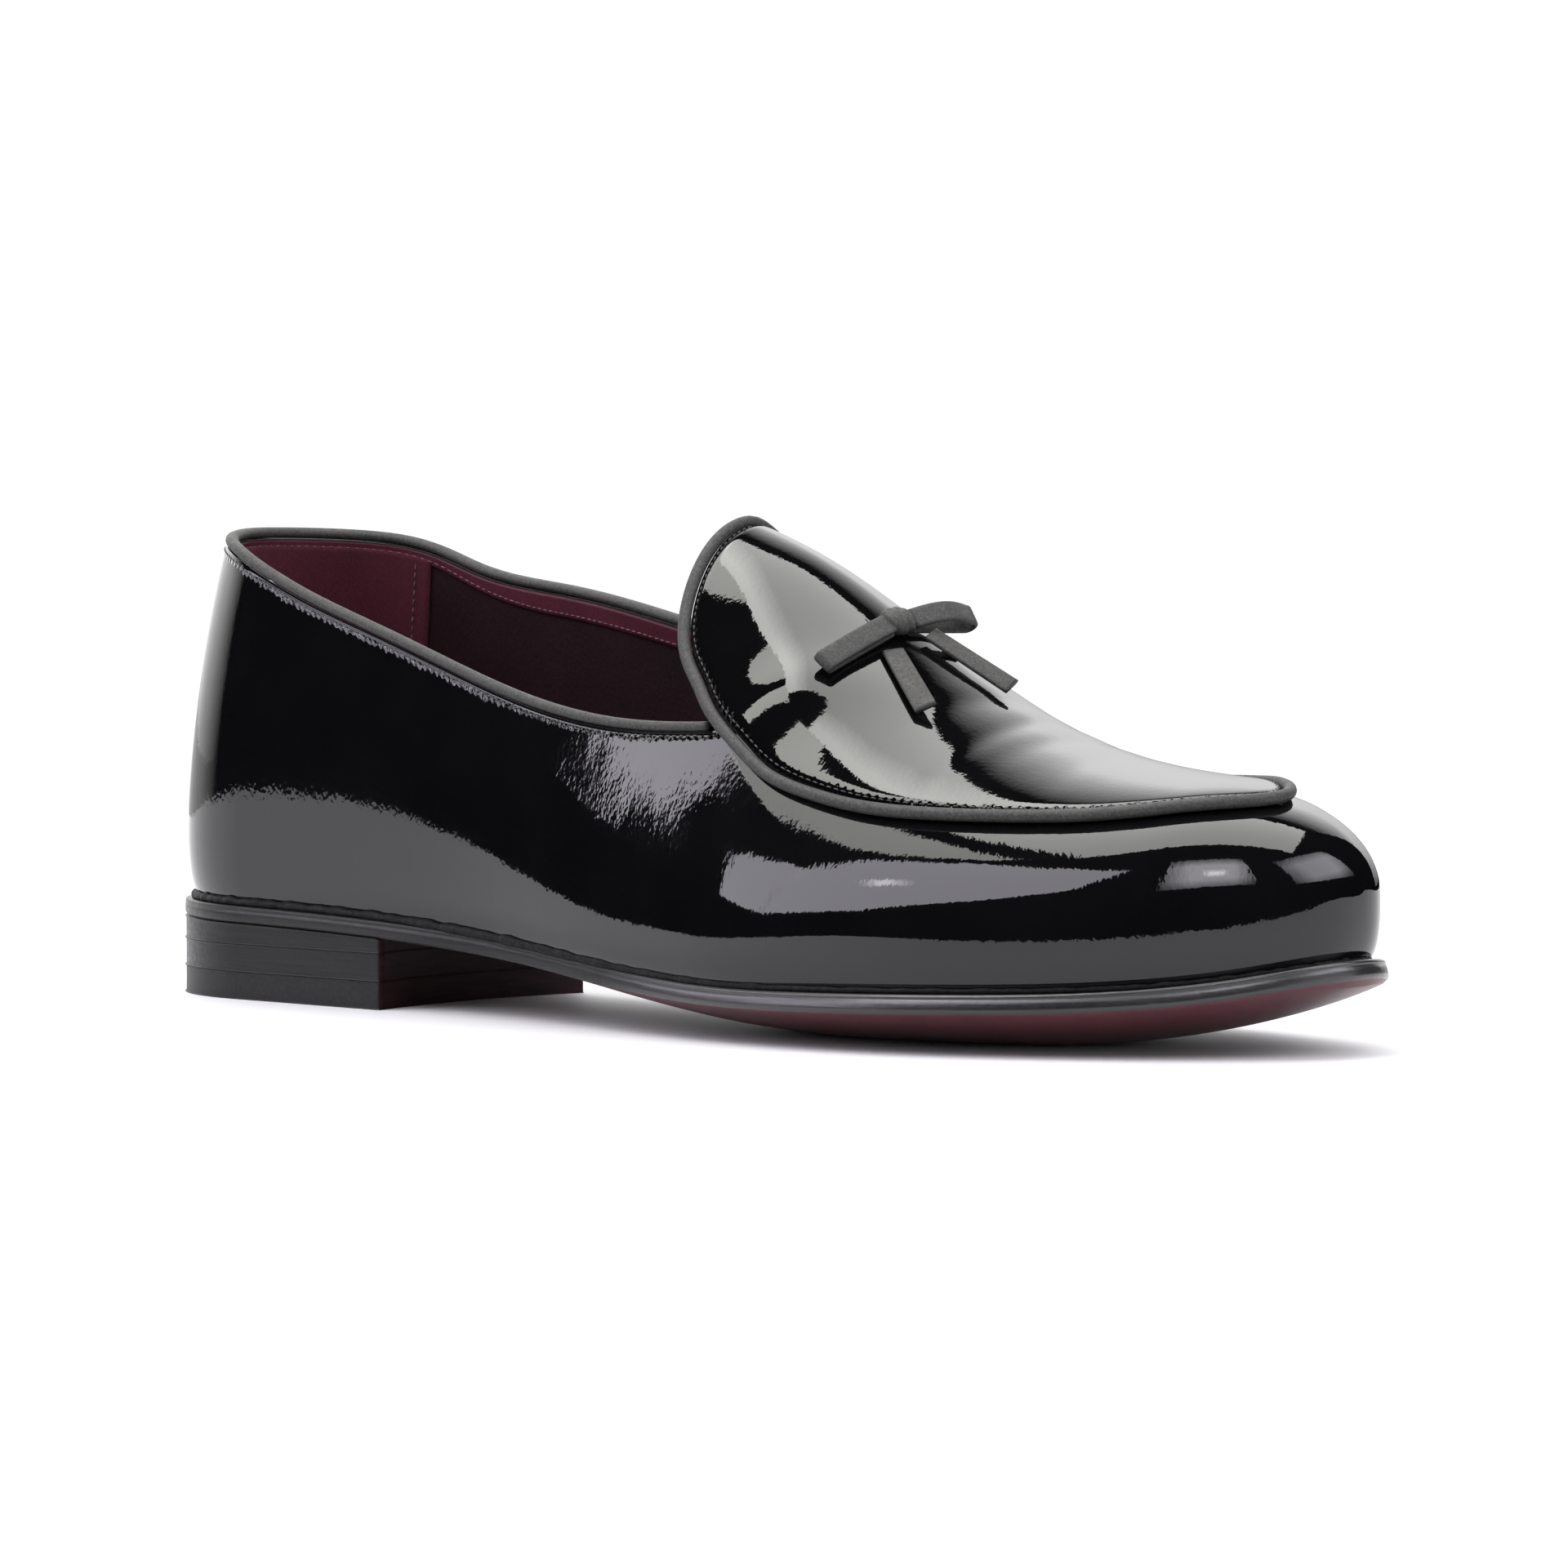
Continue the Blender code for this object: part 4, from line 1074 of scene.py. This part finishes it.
# Panels: name, place, point that it faces, corners anticlockwise in its plane, radiance, colour, fades,
# and the pieces that it skips
COOL, WARM = (0.99, 0.95, 1.07), (1.0, 1.0, 0.95)
NOT_UPPER = ("upper_patent", "back_strap")
NOT_APRON = ("apron_patent",)
PANEL_ROWS = (
    ("ceiling", (95, 100, 1100), (95, 100, 0),
     ((-385, -320), (455, -320), (455, 440), (-385, 440)), 5.0, (1.0, 1.0, 0.97), (), ()),
    ("ceiling_rim", (95, 100, 1085), (95, 100, 0),
     ((-381, -320), (-150, -320), (-150, 440), (-381, 440)), 4.0, WARM, (("X", 0.3, 1.0),), NOT_UPPER),
    ("ceiling_wing", (95, 100, 1120), (95, 100, 0),
     ((-390, -25), (-390, 440), (-895, 440), (-895, 220), (-615, -5)), 5.5, WARM, (), NOT_UPPER),
    ("backdrop", (-850, 1000, 850), (-850, 0, 850),
     ((-1750, -850), (1750, -850), (1750, 850), (-1750, 850)), 2.8, (1.0, 1.0, 1.0),
     (("Y", 0.4, 0.95), ("Y", 0.36, -0.06), ("X", 0.45, 1.0)), ()),
    ("backdrop_low", (-1300, 1020, 250), (-1300, 0, 250),
     ((-1400, -320), (1400, -320), (1400, 320), (-1400, 320)), 0.8, (1.0, 1.0, 1.0),
     (("X", 0.45, 1.0), ("Y", 0.4, 1.0)), NOT_APRON),
    ("left_broad", (-819, -473, 739), (0, 0, 0),
     ((-485, -640), (0, -437), (601, 191), (506, 520), (0, 638)), 4.5, COOL, (), NOT_APRON),
    ("left_point", (-860, -497, 776), (0, 0, 0),
     ((-757, -577), (-509, -658), (-277, -63), (-594, -280)), 4.5, COOL, (), NOT_APRON),
    ("left_strip", (-901, -520, 813), (0, 0, 0),
     ((-1503, -509), (-1126, -569), (-926, -381), (-589, -72), (-406, 173), (-440, 287), (-691, 252)),
     5.0, COOL, (), NOT_APRON),
    ("tongue_low", (95, 100, 1150), (95, 100, 0),
     ((-1120, -450), (-398, -450), (-398, -165), (-695, -180), (-1120, -240)), 6.8, WARM, (), NOT_UPPER),
    ("under_piping", (95, 100, 1170), (95, 100, 0),
     ((-1350, -310), (-760, -330), (-480, -290), (-480, -90), (-1350, -230)), 4.0, (1.0, 1.0, 0.97), (),
     ("apron_patent", "back_strap")),
    ("front", (75, -860, 834), (0, 0, 0),
     ((-226, -300), (252, -330), (164, 364), (-153, 361)), 6.2, (1.0, 0.97, 1.04), SOFT_EDGES, ()),
    ("right", (900, -364, 705), (0, 0, 0),
     ((-600, -175), (725, -322), (442, 448), (-417, 517)), 4.5, (0.99, 0.97, 1.04), SOFT_EDGES, ()),
    ("left_hot", (-768, -444, 731), (0, 0, 0),
     ((-56, -98), (89, 92), (61, 168), (-84, -22)), 7.0, (1.0, 0.98, 1.03), HOT_MIDDLE, NOT_APRON),
    ("front_hot", (86, -823, 799), (0, 0, 0),
     ((-62, -95), (62, -95), (62, 95), (-62, 95)), 8.0, (1.0, 0.98, 1.03), HOT_MIDDLE, ()),
    ("edge_low", (850, -560, 130), (0, 0, 0),
     ((-650, -130), (650, -130), (650, 130), (-650, 130)), 1.8, (0.97, 0.95, 1.06), (),
     ("upper_patent", "apron_patent", "back_strap")),
)
PANEL_FAR = 4.0
# Reach of the table to the sides, to the front and to the back, and its two tones
FLOOR_REACH = (1500.0, 340.0, 900.0)
FLOOR_TONES = ((0.44, 0.44, 0.45), (0.46, 0.46, 0.47))
WORLD_STRENGTH = 1.05


def cut_panel(light, low, high, corners, fades):
    """Darkens an area light outside the polygon of its corners and along its fades."""
    light.use_nodes = True
    tree = light.node_tree
    place = add_node(tree, "ShaderNodeNewGeometry").outputs["Parametric"]
    shares = add_node(tree, "ShaderNodeSeparateXYZ", Vector=place).outputs
    inside = 1.0
    for side, start, end in fades:
        inside = combine(tree, "MULTIPLY", inside, ramp(tree, shares[side], start, end, 1.0, 0.0))
    for first, second in zip(corners, corners[1:] + corners[:1]):
        normal = Vector((first[1] - second[1], second[0] - first[0]))
        weights = Vector((normal.x * (high[0] - low[0]), normal.y * (high[1] - low[1]), 0))
        level = normal.x * (first[0] - low[0]) + normal.y * (first[1] - low[1])
        product = add_node(tree, "ShaderNodeVectorMath", {"operation": "DOT_PRODUCT"})
        put(tree, product.inputs[0], place)
        put(tree, product.inputs[1], weights)
        kept = combine(tree, "GREATER_THAN", product.outputs["Value"], level)
        inside = combine(tree, "MULTIPLY", inside, kept)
    fill(tree, tree.nodes["Emission"], Strength=inside)


def add_panel(name, at, towards, corners, radiance, colour, fades, skips):
    """Soft box: a flat polygon of light that faces a point and stays level along its width."""
    turn = math.radians(STUDIO_TURN)
    right = Vector((math.cos(turn), math.sin(turn), 0))
    behind = Vector((-math.sin(turn), math.cos(turn), 0))
    up = Vector((0, 0, 1))
    places = [PANEL_FAR * (right * p[0] + behind * p[1] + up * p[2]) for p in (at, towards)]
    corners = [(PANEL_FAR * x, PANEL_FAR * y) for x, y in corners]
    back = (places[0] - places[1]).normalized()
    level = up.cross(back)
    across = level.normalized() if level.length > 0.01 else right
    tall = back.cross(across)
    low = [min(c[i] for c in corners) for i in (0, 1)]
    high = [max(c[i] for c in corners) for i in (0, 1)]
    light = bpy.data.lights.new(name, "AREA")
    light.shape = "RECTANGLE"
    light.size = (high[0] - low[0]) * MM
    light.size_y = (high[1] - low[1]) * MM
    light.color = colour
    light.energy = radiance * math.pi * light.size * light.size_y
    if fades or set(corners) != {(x, y) for x in (low[0], high[0]) for y in (low[1], high[1])}:
        cut_panel(light, low, high, corners, fades)
    holder = bpy.data.objects.new(name, light)
    middle = Vector(STUDIO_AT) - Vector((CENTRE_X, CENTRE_Y, 0))
    offset = across * (low[0] + high[0]) / 2 + tall * (low[1] + high[1]) / 2
    holder.location = (places[0] + offset + middle) * MM
    holder.rotation_euler = Matrix((across, tall, back)).transposed().to_euler()
    bpy.context.scene.collection.objects.link(holder)
    if skips:
        unlit = bpy.data.collections.new(name + "_skips")
        for piece in skips:
            unlit.objects.link(bpy.data.objects[piece])
        for member in unlit.collection_objects:
            member.light_linking.link_state = "EXCLUDE"
        holder.light_linking.receiver_collection = unlit


def add_floor():
    """White table top, turned as the camera is; its front edge ends the floor's reflection in the leather."""
    material, tree, shader = new_material("floor_white", FLOOR_TONES[0], 0.6)
    tone = tint(tree, noise(tree, 6.0, 2.0), *FLOOR_TONES)
    fill(tree, shader, Base_Color=tone, Specular_IOR_Level=0.2)
    turn = Matrix.Rotation(math.radians(STUDIO_TURN), 3, "Z")
    side, front, back = FLOOR_REACH
    middle = Vector(STUDIO_AT) - Vector((CENTRE_X, CENTRE_Y, STUDIO_AT[2]))
    corners = ((-side, -front, 0), (side, -front, 0), (side, back, 0), (-side, back, 0))
    mesh = bpy.data.meshes.new("floor")
    mesh.from_pydata([(middle + turn @ Vector(c)) * MM for c in corners], [], [(0, 1, 2, 3)])
    mesh.materials.append(material)
    floor = bpy.data.objects.new("floor", mesh)
    bpy.context.scene.collection.objects.link(floor)


def build_studio():
    add_floor()
    for row in PANEL_ROWS:
        add_panel(*row)
    scene = bpy.context.scene
    world = bpy.data.worlds.new("studio")
    world.use_nodes = True
    tree = world.node_tree
    fill(tree, tree.nodes["Background"], Color=(1, 1, 1, 1), Strength=WORLD_STRENGTH)
    world.cycles_visibility.glossy = False
    scene.world = world
    scene.view_settings.view_transform = "Standard"


def build_camera():
    lens = bpy.data.cameras.new("camera")
    lens.lens = CAMERA_LENS
    lens.sensor_width = CAMERA_SENSOR
    lens.clip_start, lens.clip_end = CAMERA_CLIP
    camera = bpy.data.objects.new("camera", lens)
    camera.location = (Vector(CAMERA_AT) - Vector((CENTRE_X, CENTRE_Y, 0))) * MM
    camera.rotation_euler = (math.radians(90 - CAMERA_TILT), 0, math.radians(CAMERA_TURN))
    bpy.context.scene.collection.objects.link(camera)
    bpy.context.scene.camera = camera


def main():
    patent = patent_material()
    trim = grained_material("trim_charcoal")
    suede = grained_material("lining_suede", True)
    hide = grained_material("lining_hide", True)
    facing = grained_material("lining_facing", True)
    edge = edge_material()
    underside = underside_material()
    black_thread = grained_material("thread_black")
    red_thread = grained_material("thread_burgundy")
    build_camera()
    build_outsole(edge, underside)
    build_rand(grained_material("rand_painted_shade"))
    build_heel(edge, grained_material("top_piece_rubber"), grained_material("breast_painted_shade"))
    build_insole(hide)
    build_upper(patent, hide)
    build_counter(suede, red_thread)
    build_back_strap(patent)
    build_collar(trim, black_thread, facing, red_thread)
    build_apron(patent, hide, trim, black_thread)
    build_bow(trim)
    build_studio()


main()
